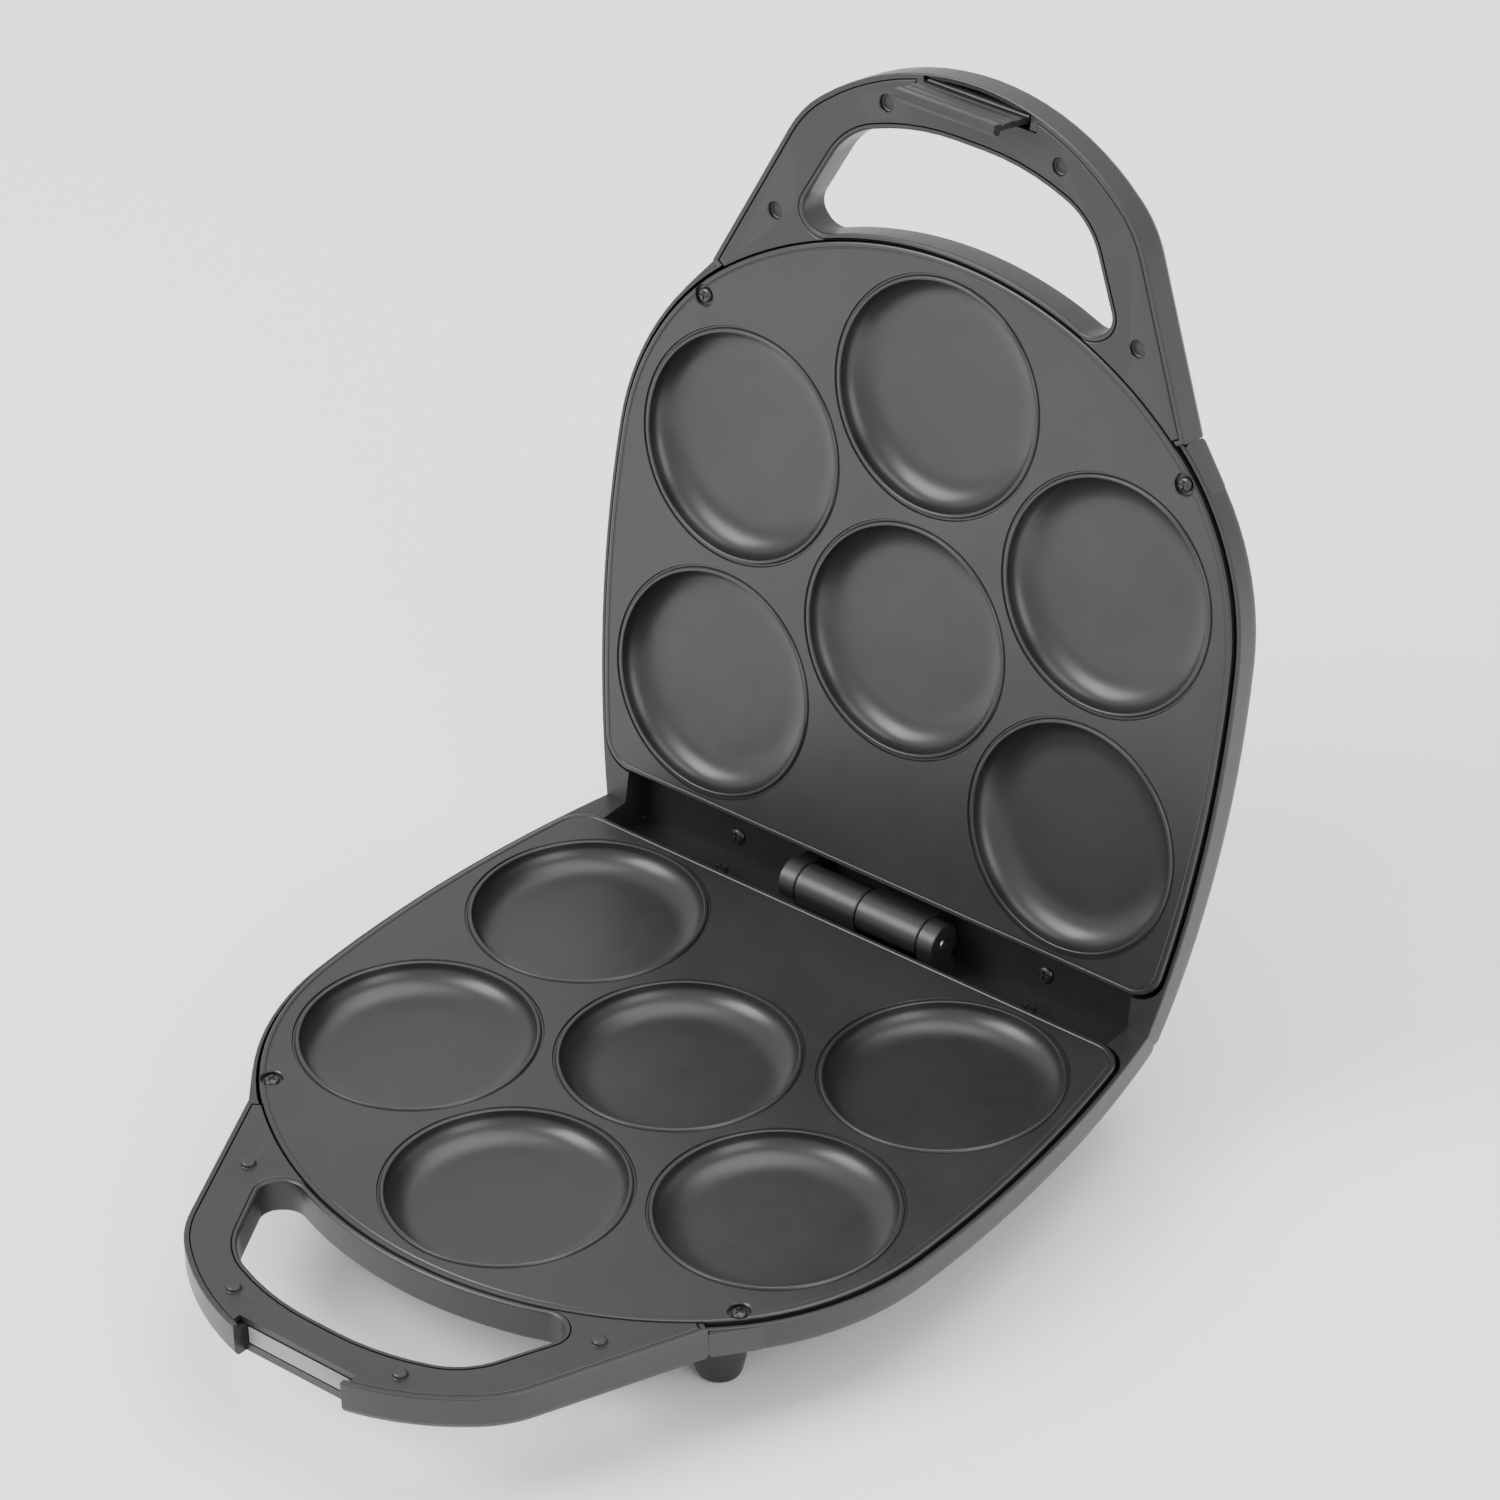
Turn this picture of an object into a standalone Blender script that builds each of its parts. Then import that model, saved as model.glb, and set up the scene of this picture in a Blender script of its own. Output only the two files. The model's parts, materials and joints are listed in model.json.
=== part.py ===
"""A hinged six-cavity pancake maker, modelled with its lid open on its stop.

Driving dimensions are in millimetres and degrees; meshes are scaled to metres as they are made.
Both halves are described in the same half frame: u runs across, v runs from the hinge axis towards
the handle, and w is the depth away from the parting plane. In the base w points down. In the lid w
points away from the base, and the lid's pivot turns it back to its open position.
"""

import math

import bmesh
import bpy
from mathutils import Matrix, Vector

# Placing of the object: it stands on Z = 0 with the middle of its bounding box over the origin.
METRE_PER_MM = 0.001
HINGE_Y = 106.2
HINGE_HEIGHT = 42.0
OPEN_ANGLE = 102.0
FACE_DEPTH = 0.5

# Outline of a cooking plate, as tangent circles about fixed centres.
PLATE_HALF_WIDTH = 122.4
PLATE_REAR = 11.0
REAR_CORNER_RADIUS = 12.0
SIDE_RADIUS = 480.0
SIDE_CENTRE_V = 108.0
SHOULDER_RADIUS = 90.0
FRONT_RADIUS = 142.8
FRONT_CENTRE_V = 84.8

# Cooking plate: six round dishes on a hexagonal pitch.
DISH_RADIUS = 40.0
DISH_FLOOR_RADIUS = 31.5
DISH_DEPTH = 8.0
DISH_ROW_STEP = 42.37
DISH_COLUMN = 73.23
DISH_FIRST_ROW = 54.87
PLATE_THICKNESS = 2.2
BULGE_MARGIN = 1.6
PLATE_SKIRT_DEPTH = 6.5
PLATE_SKIRT_THICKNESS = 2.0
STUD_PLACE = (95.2, 185.2)
STUD_SEAT_RADIUS = 3.6
STUD_SEAT_DEPTH = 1.5
POST_RADIUS = 3.4
POST_DEPTHS = (6.9, 11.8)

# Shell: outer face, wall and the space inside. Each level is (growth past the plate edge, depth).
RIM_GROWTH = 2.6
SEAM_GROWTH = 0.5
SHELL_REAR = -11.6
SHELL_REAR_CORNER = 8.0
SHELL_LEVELS = (
    (2.6, 2.0),
    (2.6, 9.6),
    (1.7, 12.0),
    (-0.8, 13.2),
    (-10.0, 16.4),
    (-20.0, 21.4),
    (-27.0, 26.4),
    (-33.0, 29.6),
    (-42.0, 30.5),
)
HOLLOW_LEVELS = (
    (1.2, -1.0),
    (1.2, 9.0),
    (-1.2, 11.0),
    (-10.4, 14.2),
    (-20.8, 19.4),
    (-28.0, 24.6),
    (-34.0, 27.6),
    (-43.0, 28.3),
)
REAR_TAPER = 0.12
DECK_DEPTH = 13.0
DECK_THICKNESS = 2.2
DECK_FRONT = 16.0
DECK_HALF_WIDTH = 104.0
HOLLOW_REAR = 9.6
BELOW_DECK_REAR = -4.4
BELOW_DECK_DEPTH = 23.5
BELOW_DECK_HALF_WIDTH = 68.0
STOP_GAP = 0.25

# Handle: a hollow rim that loops round the finger opening.
HANDLE_WALL = 1.8
HANDLE_FLOOR = 11.0
NECK = (93.6, 198.2)
NECK_ROOT = (80.0, 190.0)
HANDLE_FRONT = 286.8
HANDLE_CORNERS = (
    (66.2, 259.2, 40.0),
    (33.0, 286.8, 92.0),
)
HANDLE_LEVELS = ((0.0, 0.5), (0.0, 10.0), (-0.9, 12.1), (-3.1, 13.0))
OPENING_TOP = 266.4
OPENING_CORNERS = (
    (61.8, 226.4, 6.0),
    (47.4, 256.6, 26.0),
    (22.0, 266.4, 90.0),
)
OPENING_FRONT_RADIUS = 145.4
OPENING_BOTTOM_END = 54.0
OPENING_WALL = 1.6
COVER_THICKNESS = 2.2
COVER_GAP = 0.3
COVER_SEAT_DEPTH = 3.0
PEG_PLACES = ((33.6, 270.4), (71.2, 222.4))
PEG_RADIUS = 2.4
PEG_HEIGHT = 1.5
SOCKET_RADIUS = 2.8

# Hinge: four knuckles on one pin.
KNUCKLE_RADIUS = 7.0
KNUCKLE_ENDS = (-32.0, -25.2, 0.0, 25.2, 32.0)
KNUCKLE_GAP = 0.4
HINGE_PIN_RADIUS = 2.0
HINGE_BORE_RADIUS = 2.35
HINGE_CLEARANCE = 0.6

# Latch: a clip on the lid's handle that snaps over the base's handle.
LATCH_PIVOT_V = 281.2
LATCH_PIVOT_W = 3.2
LATCH_LEAN = 3.0
LATCH_HALF_WIDTH = 19.6
LATCH_BARREL_RADIUS = 2.2
LATCH_BORE_RADIUS = 1.35
LATCH_PIN_RADIUS = 1.0
LATCH_BLADE_INNER = -1.2
LATCH_BLADE_OUTER = 1.2
LATCH_HOOK = 1.5
LATCH_HOOK_START = 16.6
LATCH_LENGTH = 20.2
SLOT_HALF_WIDTH = 20.8
SLOT_V = (278.4, 283.8)
SLOT_DEPTH = 8.0
CHEEK_END = 23.4
CHEEK_V = 278.6
RECESS_HALF_WIDTH = 21.6
RECESS_FACE = 279.0
KEEPER_HALF_WIDTH = 20.4
KEEPER_DEPTHS = (3.3, 9.6)
KEEPER_THICKNESS = 1.5

# Feet, screws, cord gland and lamps.
FOOT_PLACES = {"front": (77.0, 173.5), "rear": (77.0, 15.0)}
FOOT_TOP_RADIUS = 9.0
FOOT_BOTTOM_RADIUS = 6.8
FOOT_ROOT_DEPTH = 22.0
FOOT_END_DEPTH = 40.6
FOOT_PAD_RADIUS = 5.4
FOOT_PAD_THICKNESS = 3.0
REAR_SCREW_PLACE = (64.0, -2.0)
SCREW_HEAD_RADIUS = 2.9
SCREW_HEAD_HEIGHT = 1.2
SCREW_SHANK_RADIUS = 1.3
SCREW_HOLE_RADIUS = 1.7
PLATE_SCREW_END = 9.6
REAR_SCREW_END = 19.0
SCREW_SEAT_GAP = 0.3
GLAND_PLACE = (48.0, 21.5)
GLAND_SEAT_V = -7.4
GLAND_FLANGE = 2.4
GLAND_INNER_END = 3.0
GLAND_RADIUS = 5.4
GLAND_NECK_RADIUS = 4.0
GLAND_BORE_RADIUS = 2.8
LAMP_PLACES = {"power": (-9.0, 168.0), "ready": (9.0, 168.0)}
LAMP_RADIUS = 3.2
LENS_BELOW = 1.8
LENS_PROUD = 0.8
BULB_RADIUS = 1.6

# Parts inside each half.
ELEMENT_RADIUS = 3.2
ELEMENT_DEPTH = 14.4
ELEMENT_CORNERS = (
    (15.0, 26.0, 0.0),
    (76.0, 30.0, 22.0),
    (80.0, 150.0, 26.0),
    (0.0, 206.0, 30.0),
)
REFLECTOR_GROWTH = -25.0
REFLECTOR_REAR = 28.0
REFLECTOR_CORNER_RADIUS = 8.0
REFLECTOR_DEPTHS = (19.2, 20.0)
THERMOSTAT_PLACE = (48.8, 97.2)
THERMOSTAT_RADIUS = 6.8
THERMOSTAT_NECK_RADIUS = 4.6
THERMOSTAT_HEIGHT = 9.0
FUSE_RADIUS = 2.2
FUSE_HALF_LENGTH = 6.0
SLIP_GAP = 0.3

SIDES = {"left": -1, "right": 1}

# Fineness of arcs, in degrees, and the angle beyond which an edge is shaded sharp.
ARC_STEP = 12.0
SHARP_ANGLE = 35.0


# Plain geometry in the (u, v) plane.


def arc(centre, radius, start, end, steps):
    """Points along a circle from angle start to angle end, in degrees, in that many steps."""
    turns = [math.radians(start + (end - start) * i / steps) for i in range(steps + 1)]
    return [(centre[0] + radius * math.cos(t), centre[1] + radius * math.sin(t)) for t in turns]


def angle_from(origin, point):
    return math.degrees(math.atan2(point[1] - origin[1], point[0] - origin[0]))


def circle_centre(first, first_distance, second, second_distance):
    """The point at the two given distances from two centres, on the handle's side of their line."""
    gap = math.dist(first, second)
    along = (first_distance**2 - second_distance**2 + gap**2) / (2 * gap)
    aside = math.sqrt(first_distance**2 - along**2)
    du, dv = (second[0] - first[0]) / gap, (second[1] - first[1]) / gap
    return (first[0] + along * du - aside * dv, first[1] + along * dv + aside * du)


def mirrored(right_half):
    """A closed loop from its right half, listed from the rear middle to the front middle."""
    left_half = [(-u, v) for u, v in reversed(right_half) if abs(u) > 1e-6]
    return right_half + left_half


def body_outline(growth=0.0, rear=PLATE_REAR, corner=REAR_CORNER_RADIUS):
    """The plate's outline moved outwards by growth, with its rear edge at the given v."""
    side = (PLATE_HALF_WIDTH - SIDE_RADIUS, SIDE_CENTRE_V)
    front = (0.0, FRONT_CENTRE_V)
    shoulder = circle_centre(
        side, SIDE_RADIUS - SHOULDER_RADIUS, front, FRONT_RADIUS - SHOULDER_RADIUS
    )
    reach = SIDE_RADIUS + growth - corner
    corner_v = rear + corner
    corner_u = side[0] + math.sqrt(reach**2 - (corner_v - side[1]) ** 2)
    side_start = angle_from(side, (corner_u, corner_v))
    side_end = angle_from(side, shoulder)
    shoulder_end = angle_from(front, shoulder)
    half = [(0.0, rear)]
    half += arc((corner_u, corner_v), corner, -90, side_start, 5)
    half += arc(side, SIDE_RADIUS + growth, side_start, side_end, 5)[1:]
    half += arc(shoulder, SHOULDER_RADIUS + growth, side_end, shoulder_end, 5)[1:]
    half += arc(front, FRONT_RADIUS + growth, shoulder_end, 90, 6)[1:]
    return mirrored(half)


def rounded(corners):
    """A line through (u, v, radius) corners, each corner replaced by an arc of its radius."""
    points = []
    for i, (u, v, radius) in enumerate(corners):
        here = Vector((u, v))
        if radius == 0 or i in (0, len(corners) - 1):
            points.append((u, v))
            continue
        back = (Vector(corners[i - 1][:2]) - here).normalized()
        ahead = (Vector(corners[i + 1][:2]) - here).normalized()
        half_angle = back.angle(ahead) / 2
        centre = here + (back + ahead).normalized() * (radius / math.sin(half_angle))
        reach = radius / math.tan(half_angle)
        start = angle_from(centre, here + back * reach)
        turn = (angle_from(centre, here + ahead * reach) - start + 180) % 360 - 180
        points += arc(centre, radius, start, start + turn, max(2, round(abs(turn) / ARC_STEP)))
    return points


def offset(loop, distance):
    """A closed loop moved outwards, if it runs anticlockwise, by distance along its normals."""
    moved = []
    for i, point in enumerate(loop):
        here = Vector(point)
        before = (here - Vector(loop[i - 1])).normalized()
        after = (Vector(loop[(i + 1) % len(loop)]) - here).normalized()
        normal = Vector((before.y + after.y, -before.x - after.x)).normalized()
        stretch = max(0.5, normal.dot(Vector((after.y, -after.x))))
        moved.append(tuple(here + normal * (distance / stretch)))
    return moved


def handle_outline():
    """The outer face of the handle. Its rear edge lies inside the body."""
    corners = [(*NECK_ROOT, 0), (*NECK, 0), *HANDLE_CORNERS]
    corners.append((-HANDLE_CORNERS[1][0], HANDLE_CORNERS[1][1], 0))
    side = [(u, v) for u, v in rounded(corners) if u > 0.5]
    return mirrored([(0.0, 170.0), (60.0, 180.0)] + side + [(0.0, HANDLE_FRONT)])


def opening_outline():
    """The finger opening between the handle and the front of the body."""
    front = (0.0, FRONT_CENTRE_V)
    end = math.degrees(math.acos(OPENING_BOTTOM_END / OPENING_FRONT_RADIUS))
    bottom = arc(front, OPENING_FRONT_RADIUS, 90, end, 4)
    corners = [(*bottom[-1], 0), *OPENING_CORNERS, (0.0, OPENING_TOP, 0)]
    return mirrored(bottom[:-1] + rounded(corners))


# Solids in a half frame. Each is a bmesh in millimetres; w still points away from the parting plane.


def skin(mesh, rings):
    """Joins closed rings of equal length with faces and caps both ends."""
    for low, high in zip(rings, rings[1:]):
        for i in range(len(low)):
            mesh.faces.new((low[i - 1], low[i], high[i], high[i - 1]))
    mesh.faces.new(rings[0])
    mesh.faces.new(rings[-1])
    return mesh


def loft(levels):
    """A solid through closed loops with equal point counts, given as (loop, w) pairs."""
    mesh = bmesh.new()
    return skin(mesh, [[mesh.verts.new((u, v, w)) for u, v in loop] for loop, w in levels])


def prism(loop, top, bottom):
    return loft([(loop, top), (loop, bottom)])


def box(u, v, w):
    """A box from three (low, high) spans."""
    return prism([(u[0], v[0]), (u[1], v[0]), (u[1], v[1]), (u[0], v[1])], *w)


def turned(profile, places, segments=24):
    """Solids turned about a vertical axis at each (u, v) place, from one (radius, w) profile."""
    mesh = bmesh.new()
    for place in places:
        levels = [(circle(place, radius, segments), w) for radius, w in profile]
        skin(mesh, [[mesh.verts.new((u, v, w)) for u, v in loop] for loop, w in levels])
    return mesh


def across(outline, spans):
    """Bars along u with the given (v, w) outline, one for each (low, high) span of u."""
    mesh = bmesh.new()
    for span in spans:
        skin(mesh, [[mesh.verts.new((u, v, w)) for v, w in outline] for u in span])
    return mesh


def along_v(outline, start, end):
    """A bar along v with the given (u, w) outline."""
    mesh = bmesh.new()
    return skin(mesh, [[mesh.verts.new((u, v, w)) for u, w in outline] for v in (start, end)])


def circle(centre, radius, segments):
    return arc(centre, radius, 0, 360, segments)[:-1]


# Objects.


class Half:
    """One half of the maker: an empty on the hinge axis, and the sense in which w grows."""

    def __init__(self, name, w_sign, angle, parent=None, place=(0.0, 0.0, 0.0)):
        self.name = name
        self.w_sign = w_sign
        self.empty = bpy.data.objects.new(name, None)
        bpy.context.scene.collection.objects.link(self.empty)
        self.empty.parent = parent
        self.empty.location = Vector(place) * METRE_PER_MM
        self.empty.rotation_euler = (math.radians(angle), 0.0, 0.0)
        self.helper_count = 0

    def add(self, name, mesh, finish=None):
        """Places a solid of this half frame, with its faces turned outwards."""
        scale = METRE_PER_MM
        mesh.transform(Matrix.Diagonal((scale, -scale, scale * self.w_sign, 1.0)))
        bmesh.ops.recalc_face_normals(mesh, faces=mesh.faces)
        data = bpy.data.meshes.new(name)
        mesh.to_mesh(data)
        mesh.free()
        if finish:
            data.materials.append(finish)
        part = bpy.data.objects.new(name, data)
        bpy.context.scene.collection.objects.link(part)
        part.parent = self.empty
        data.shade_smooth()
        data.set_sharp_from_angle(angle=math.radians(SHARP_ANGLE))
        return part

    def helper(self, mesh):
        """A hidden solid that only shapes other parts."""
        self.helper_count += 1
        part = self.add(f"{self.name}_shape_{self.helper_count:02d}", mesh)
        part.hide_render = True
        part.display_type = "WIRE"
        return part


def boolean(part, operation, *helpers):
    for other in helpers:
        step = part.modifiers.new(f"{operation.lower()}_{other.name}", "BOOLEAN")
        step.operation = operation
        step.solver = "EXACT"
        step.object = other
    return part


def finish(name, colour, roughness, metallic=0.0):
    made = bpy.data.materials.new(name)
    made.use_nodes = True
    surface = made.node_tree.nodes["Principled BSDF"]
    surface.inputs["Base Color"].default_value = (*colour, 1.0)
    surface.inputs["Roughness"].default_value = roughness
    surface.inputs["Metallic"].default_value = metallic
    made.diffuse_color = (*colour, 1.0)
    return made


def clear_scene():
    for item in list(bpy.data.objects):
        bpy.data.objects.remove(item, do_unlink=True)


# Parts of one half that both halves share.


def both_sides(places):
    return [(side * u, v) for u, v in places for side in (-1, 1)]


def knuckle_spans(first):
    """Every second knuckle, with the running gap between neighbours taken off each end."""
    ends = list(zip(KNUCKLE_ENDS, KNUCKLE_ENDS[1:]))[first::2]
    return [(low + KNUCKLE_GAP / 2, high - KNUCKLE_GAP / 2) for low, high in ends]


def stop_wedge(half):
    """Everything behind the plane on which the two shells meet when the lid is fully open."""
    turn = math.radians((360.0 - OPEN_ANGLE) / 2)
    du, dw = math.cos(turn), math.sin(turn)
    near = (STOP_GAP * dw, -STOP_GAP * du)
    far = (near[0] + 40.0 * du, near[1] + 40.0 * dw)
    top = (near[0] - 4.0 * du, near[1] - 4.0 * dw)
    outline = [top, far, (-60.0, far[1]), (-60.0, top[1])]
    return half.helper(across(outline, [(-150.0, 150.0)]))


def shell(half, knuckles, plastic):
    """The moulded case of one half, with its handle and its hinge knuckles."""
    levels = [
        (body_outline(g, SHELL_REAR - REAR_TAPER * min(0.0, g), SHELL_REAR_CORNER), w)
        for g, w in SHELL_LEVELS
    ]
    case = half.add(f"{half.name}_shell", loft(levels), plastic)
    handle = handle_outline()
    rim = half.helper(loft([(offset(handle, g), w) for g, w in HANDLE_LEVELS]))
    boolean(case, "UNION", rim)

    hollow = [(body_outline(g, HOLLOW_REAR, REAR_CORNER_RADIUS), w) for g, w in HOLLOW_LEVELS]
    deck_span = (-DECK_HALF_WIDTH, DECK_HALF_WIDTH)
    below = (-BELOW_DECK_HALF_WIDTH, BELOW_DECK_HALF_WIDTH)
    deck_floor = DECK_DEPTH + DECK_THICKNESS
    inner_handle = offset(handle, -HANDLE_WALL)
    opening = opening_outline()
    wall = half.helper(prism(offset(opening, OPENING_WALL), -3.0, 40.0))
    seat = half.helper(prism(inner_handle, -2.0, COVER_SEAT_DEPTH))
    channel = half.helper(prism(inner_handle, COVER_SEAT_DEPTH - 0.1, HANDLE_FLOOR))
    inside = half.helper(prism(body_outline(RIM_GROWTH), -4.0, 41.0))
    boolean(seat, "DIFFERENCE", wall)
    boolean(channel, "DIFFERENCE", wall, inside)
    boolean(
        case,
        "DIFFERENCE",
        half.helper(prism(opening, -2.0, 20.0)),
        half.helper(loft(hollow)),
        half.helper(box(deck_span, (-30.0, DECK_FRONT), (-2.0, DECK_DEPTH))),
        half.helper(box(below, (BELOW_DECK_REAR, DECK_FRONT + 1), (deck_floor, BELOW_DECK_DEPTH))),
        seat,
        channel,
        stop_wedge(half),
    )

    reach = KNUCKLE_ENDS[-1] + HINGE_CLEARANCE
    swept = circle((0.0, 0.0), KNUCKLE_RADIUS + HINGE_CLEARANCE, 24)
    knuckle = arc((0.0, 0.0), KNUCKLE_RADIUS, 126, 374, 16)
    knuckle += [(knuckle[-1][0], DECK_DEPTH + 0.5), (-7.6, DECK_DEPTH + 0.5)]
    bore = circle((0.0, 0.0), HINGE_BORE_RADIUS, 12)
    posts = both_sides([STUD_PLACE])
    rear_holes = both_sides([REAR_SCREW_PLACE])
    boolean(case, "DIFFERENCE", half.helper(across(swept, [(-reach, reach)])))
    boolean(case, "UNION", half.helper(across(knuckle, knuckles)))
    boolean(case, "DIFFERENCE", half.helper(across(bore, [(-reach, reach)])))
    post = [(POST_RADIUS, w) for w in POST_DEPTHS]
    boolean(case, "UNION", half.helper(turned(post, posts, 12)))
    hole = [(SCREW_HOLE_RADIUS, -1.0), (SCREW_HOLE_RADIUS, PLATE_SCREW_END + 0.6)]
    rear_hole = [(SCREW_HOLE_RADIUS, DECK_DEPTH - 3.0), (SCREW_HOLE_RADIUS, DECK_DEPTH + 4.0)]
    boolean(case, "DIFFERENCE", half.helper(turned(hole, posts, 10)))
    boolean(case, "DIFFERENCE", half.helper(turned(rear_hole, rear_holes, 10)))
    return case


def handle_cover(half, plastic, notch_v):
    """The flat horseshoe cover let into the handle's rim, with pointed ends at the neck."""
    outline = offset(handle_outline(), -HANDLE_WALL - COVER_GAP)
    top, bottom = FACE_DEPTH, FACE_DEPTH + COVER_THICKNESS
    cover = half.add(f"{half.name}_handle_cover", prism(outline, top, bottom), plastic)
    opening = offset(opening_outline(), OPENING_WALL + COVER_GAP)
    plate_side = body_outline(SEAM_GROWTH)
    notch = box((-CHEEK_END - COVER_GAP, CHEEK_END + COVER_GAP), (notch_v, 300.0), (-3.0, 6.0))
    boolean(cover, "DIFFERENCE", half.helper(prism(opening, -2.0, 6.0)))
    boolean(cover, "DIFFERENCE", half.helper(prism(plate_side, -3.0, 7.0)))
    boolean(cover, "DIFFERENCE", half.helper(notch))


def cooking_plate(half, coating):
    """The dished plate: six bulges below, six dishes above and a skirt round the edge."""
    edge = body_outline()
    skirt = prism(edge, FACE_DEPTH, PLATE_SKIRT_DEPTH)
    plate = half.add(f"{half.name}_cooking_plate", skirt, coating)
    under = FACE_DEPTH + PLATE_THICKNESS
    inner = body_outline(-PLATE_SKIRT_THICKNESS, PLATE_REAR + PLATE_SKIRT_THICKNESS, 10.0)
    boolean(plate, "DIFFERENCE", half.helper(prism(inner, under, PLATE_SKIRT_DEPTH + 1)))
    drop = DISH_RADIUS - DISH_FLOOR_RADIUS
    dish = []
    for step in range(4):
        bend = math.radians(30.0 * step)
        radius = DISH_RADIUS - drop * (1 - math.cos(bend))
        dish.append((radius, FACE_DEPTH + DISH_DEPTH * math.sin(bend)))
    bulge = [(r + BULGE_MARGIN, w + PLATE_THICKNESS - 0.2) for r, w in dish[1:]]
    bulge = [(bulge[0][0] + 1.2, FACE_DEPTH + 1.0), *bulge]
    dish = [(DISH_RADIUS, -1.0), *dish]
    boolean(plate, "UNION", half.helper(turned(bulge, dish_centres(), 16)))
    boolean(plate, "DIFFERENCE", half.helper(turned(dish, dish_centres(), 22)))
    seat = [(STUD_SEAT_RADIUS, -1.0), (STUD_SEAT_RADIUS, FACE_DEPTH + STUD_SEAT_DEPTH)]
    hole = [(SCREW_HOLE_RADIUS, -0.5), (SCREW_HOLE_RADIUS, 7.0)]
    boolean(plate, "DIFFERENCE", half.helper(turned(seat, both_sides([STUD_PLACE]), 12)))
    boolean(plate, "DIFFERENCE", half.helper(turned(hole, both_sides([STUD_PLACE]), 10)))


def dish_centres():
    centres = [(0.0, DISH_FIRST_ROW + row * DISH_ROW_STEP) for row in (1, 3)]
    sides = [(DISH_COLUMN, DISH_FIRST_ROW + row * DISH_ROW_STEP) for row in (0, 2)]
    return centres + both_sides(sides)


def heating_element(half, steel):
    """A sheathed tube bent into a loop under the dishes, with both ends at the rear."""
    right = rounded(ELEMENT_CORNERS)[:-1]
    route = [*right, ELEMENT_CORNERS[-1][:2], *[(-u, v) for u, v in reversed(right)]]
    mesh = bmesh.new()
    rings = []
    for i, point in enumerate(route):
        ahead = Vector(route[min(i + 1, len(route) - 1)])
        back = Vector(route[max(i - 1, 0)])
        along = (ahead - back).normalized()
        aside = Vector((along.y, -along.x))
        ring = []
        for s, c in circle((0.0, 0.0), ELEMENT_RADIUS, 6):
            spot = Vector(point) + aside * s
            ring.append(mesh.verts.new((spot.x, spot.y, ELEMENT_DEPTH + c)))
        rings.append(ring)
    skin(mesh, rings)
    half.add(f"{half.name}_heating_element", mesh, steel)


def heat_reflector(half, sheet):
    """A flat sheet between the element and the case."""
    outline = body_outline(REFLECTOR_GROWTH, REFLECTOR_REAR, REFLECTOR_CORNER_RADIUS)
    half.add(f"{half.name}_heat_reflector", prism(outline, *REFLECTOR_DEPTHS), sheet)


def screws(half, steel):
    """Two domed screws hold the front of the plate and two hold the rear frame."""
    seat = FACE_DEPTH + STUD_SEAT_DEPTH - SCREW_SEAT_GAP
    stud = [
        (1.2, FACE_DEPTH + 0.3),
        (2.2, FACE_DEPTH + 0.6),
        (2.5, seat),
        (SCREW_SHANK_RADIUS, seat + 0.01),
        (SCREW_SHANK_RADIUS, PLATE_SCREW_END),
    ]
    seat = DECK_DEPTH - SCREW_SEAT_GAP
    rear = [
        (1.6, seat - SCREW_HEAD_HEIGHT),
        (SCREW_HEAD_RADIUS, seat - SCREW_HEAD_HEIGHT + 0.5),
        (SCREW_HEAD_RADIUS, seat),
        (SCREW_SHANK_RADIUS, seat + 0.01),
        (SCREW_SHANK_RADIUS, REAR_SCREW_END),
    ]
    for kind, profile, (u, v) in (
        ("plate", stud, STUD_PLACE),
        ("rear", rear, REAR_SCREW_PLACE),
    ):
        for side, sign in SIDES.items():
            name = f"{half.name}_{kind}_screw_{side}"
            half.add(name, turned(profile, [(sign * u, v)], 8), steel)


def thermostat(half, metal):
    """A disc thermostat close under the plate between the dishes."""
    top = FACE_DEPTH + PLATE_THICKNESS + SLIP_GAP
    profile = [
        (THERMOSTAT_RADIUS, top),
        (THERMOSTAT_RADIUS, top + 4.0),
        (THERMOSTAT_NECK_RADIUS, top + 4.6),
        (THERMOSTAT_NECK_RADIUS, top + THERMOSTAT_HEIGHT),
    ]
    half.add(f"{half.name}_thermostat", turned(profile, [THERMOSTAT_PLACE], 16), metal)


def thermal_fuse(half, metal):
    """A small fuse in a sleeve, lying under the plate between three dishes."""
    u, v = -THERMOSTAT_PLACE[0], THERMOSTAT_PLACE[1]
    depth = FACE_DEPTH + PLATE_THICKNESS + FUSE_RADIUS + SLIP_GAP
    outline = circle((v, depth), FUSE_RADIUS, 10)
    sleeve = across(outline, [(u - FUSE_HALF_LENGTH, u + FUSE_HALF_LENGTH)])
    half.add(f"{half.name}_thermal_fuse", sleeve, metal)


def half_contents(half, finishes, notch_v):
    """The parts that the base and the lid have alike, inside and on their shells."""
    handle_cover(half, finishes["plastic"], notch_v)
    cooking_plate(half, finishes["coating"])
    heating_element(half, finishes["steel"])
    heat_reflector(half, finishes["sheet"])
    screws(half, finishes["screw"])


# The base.


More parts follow.
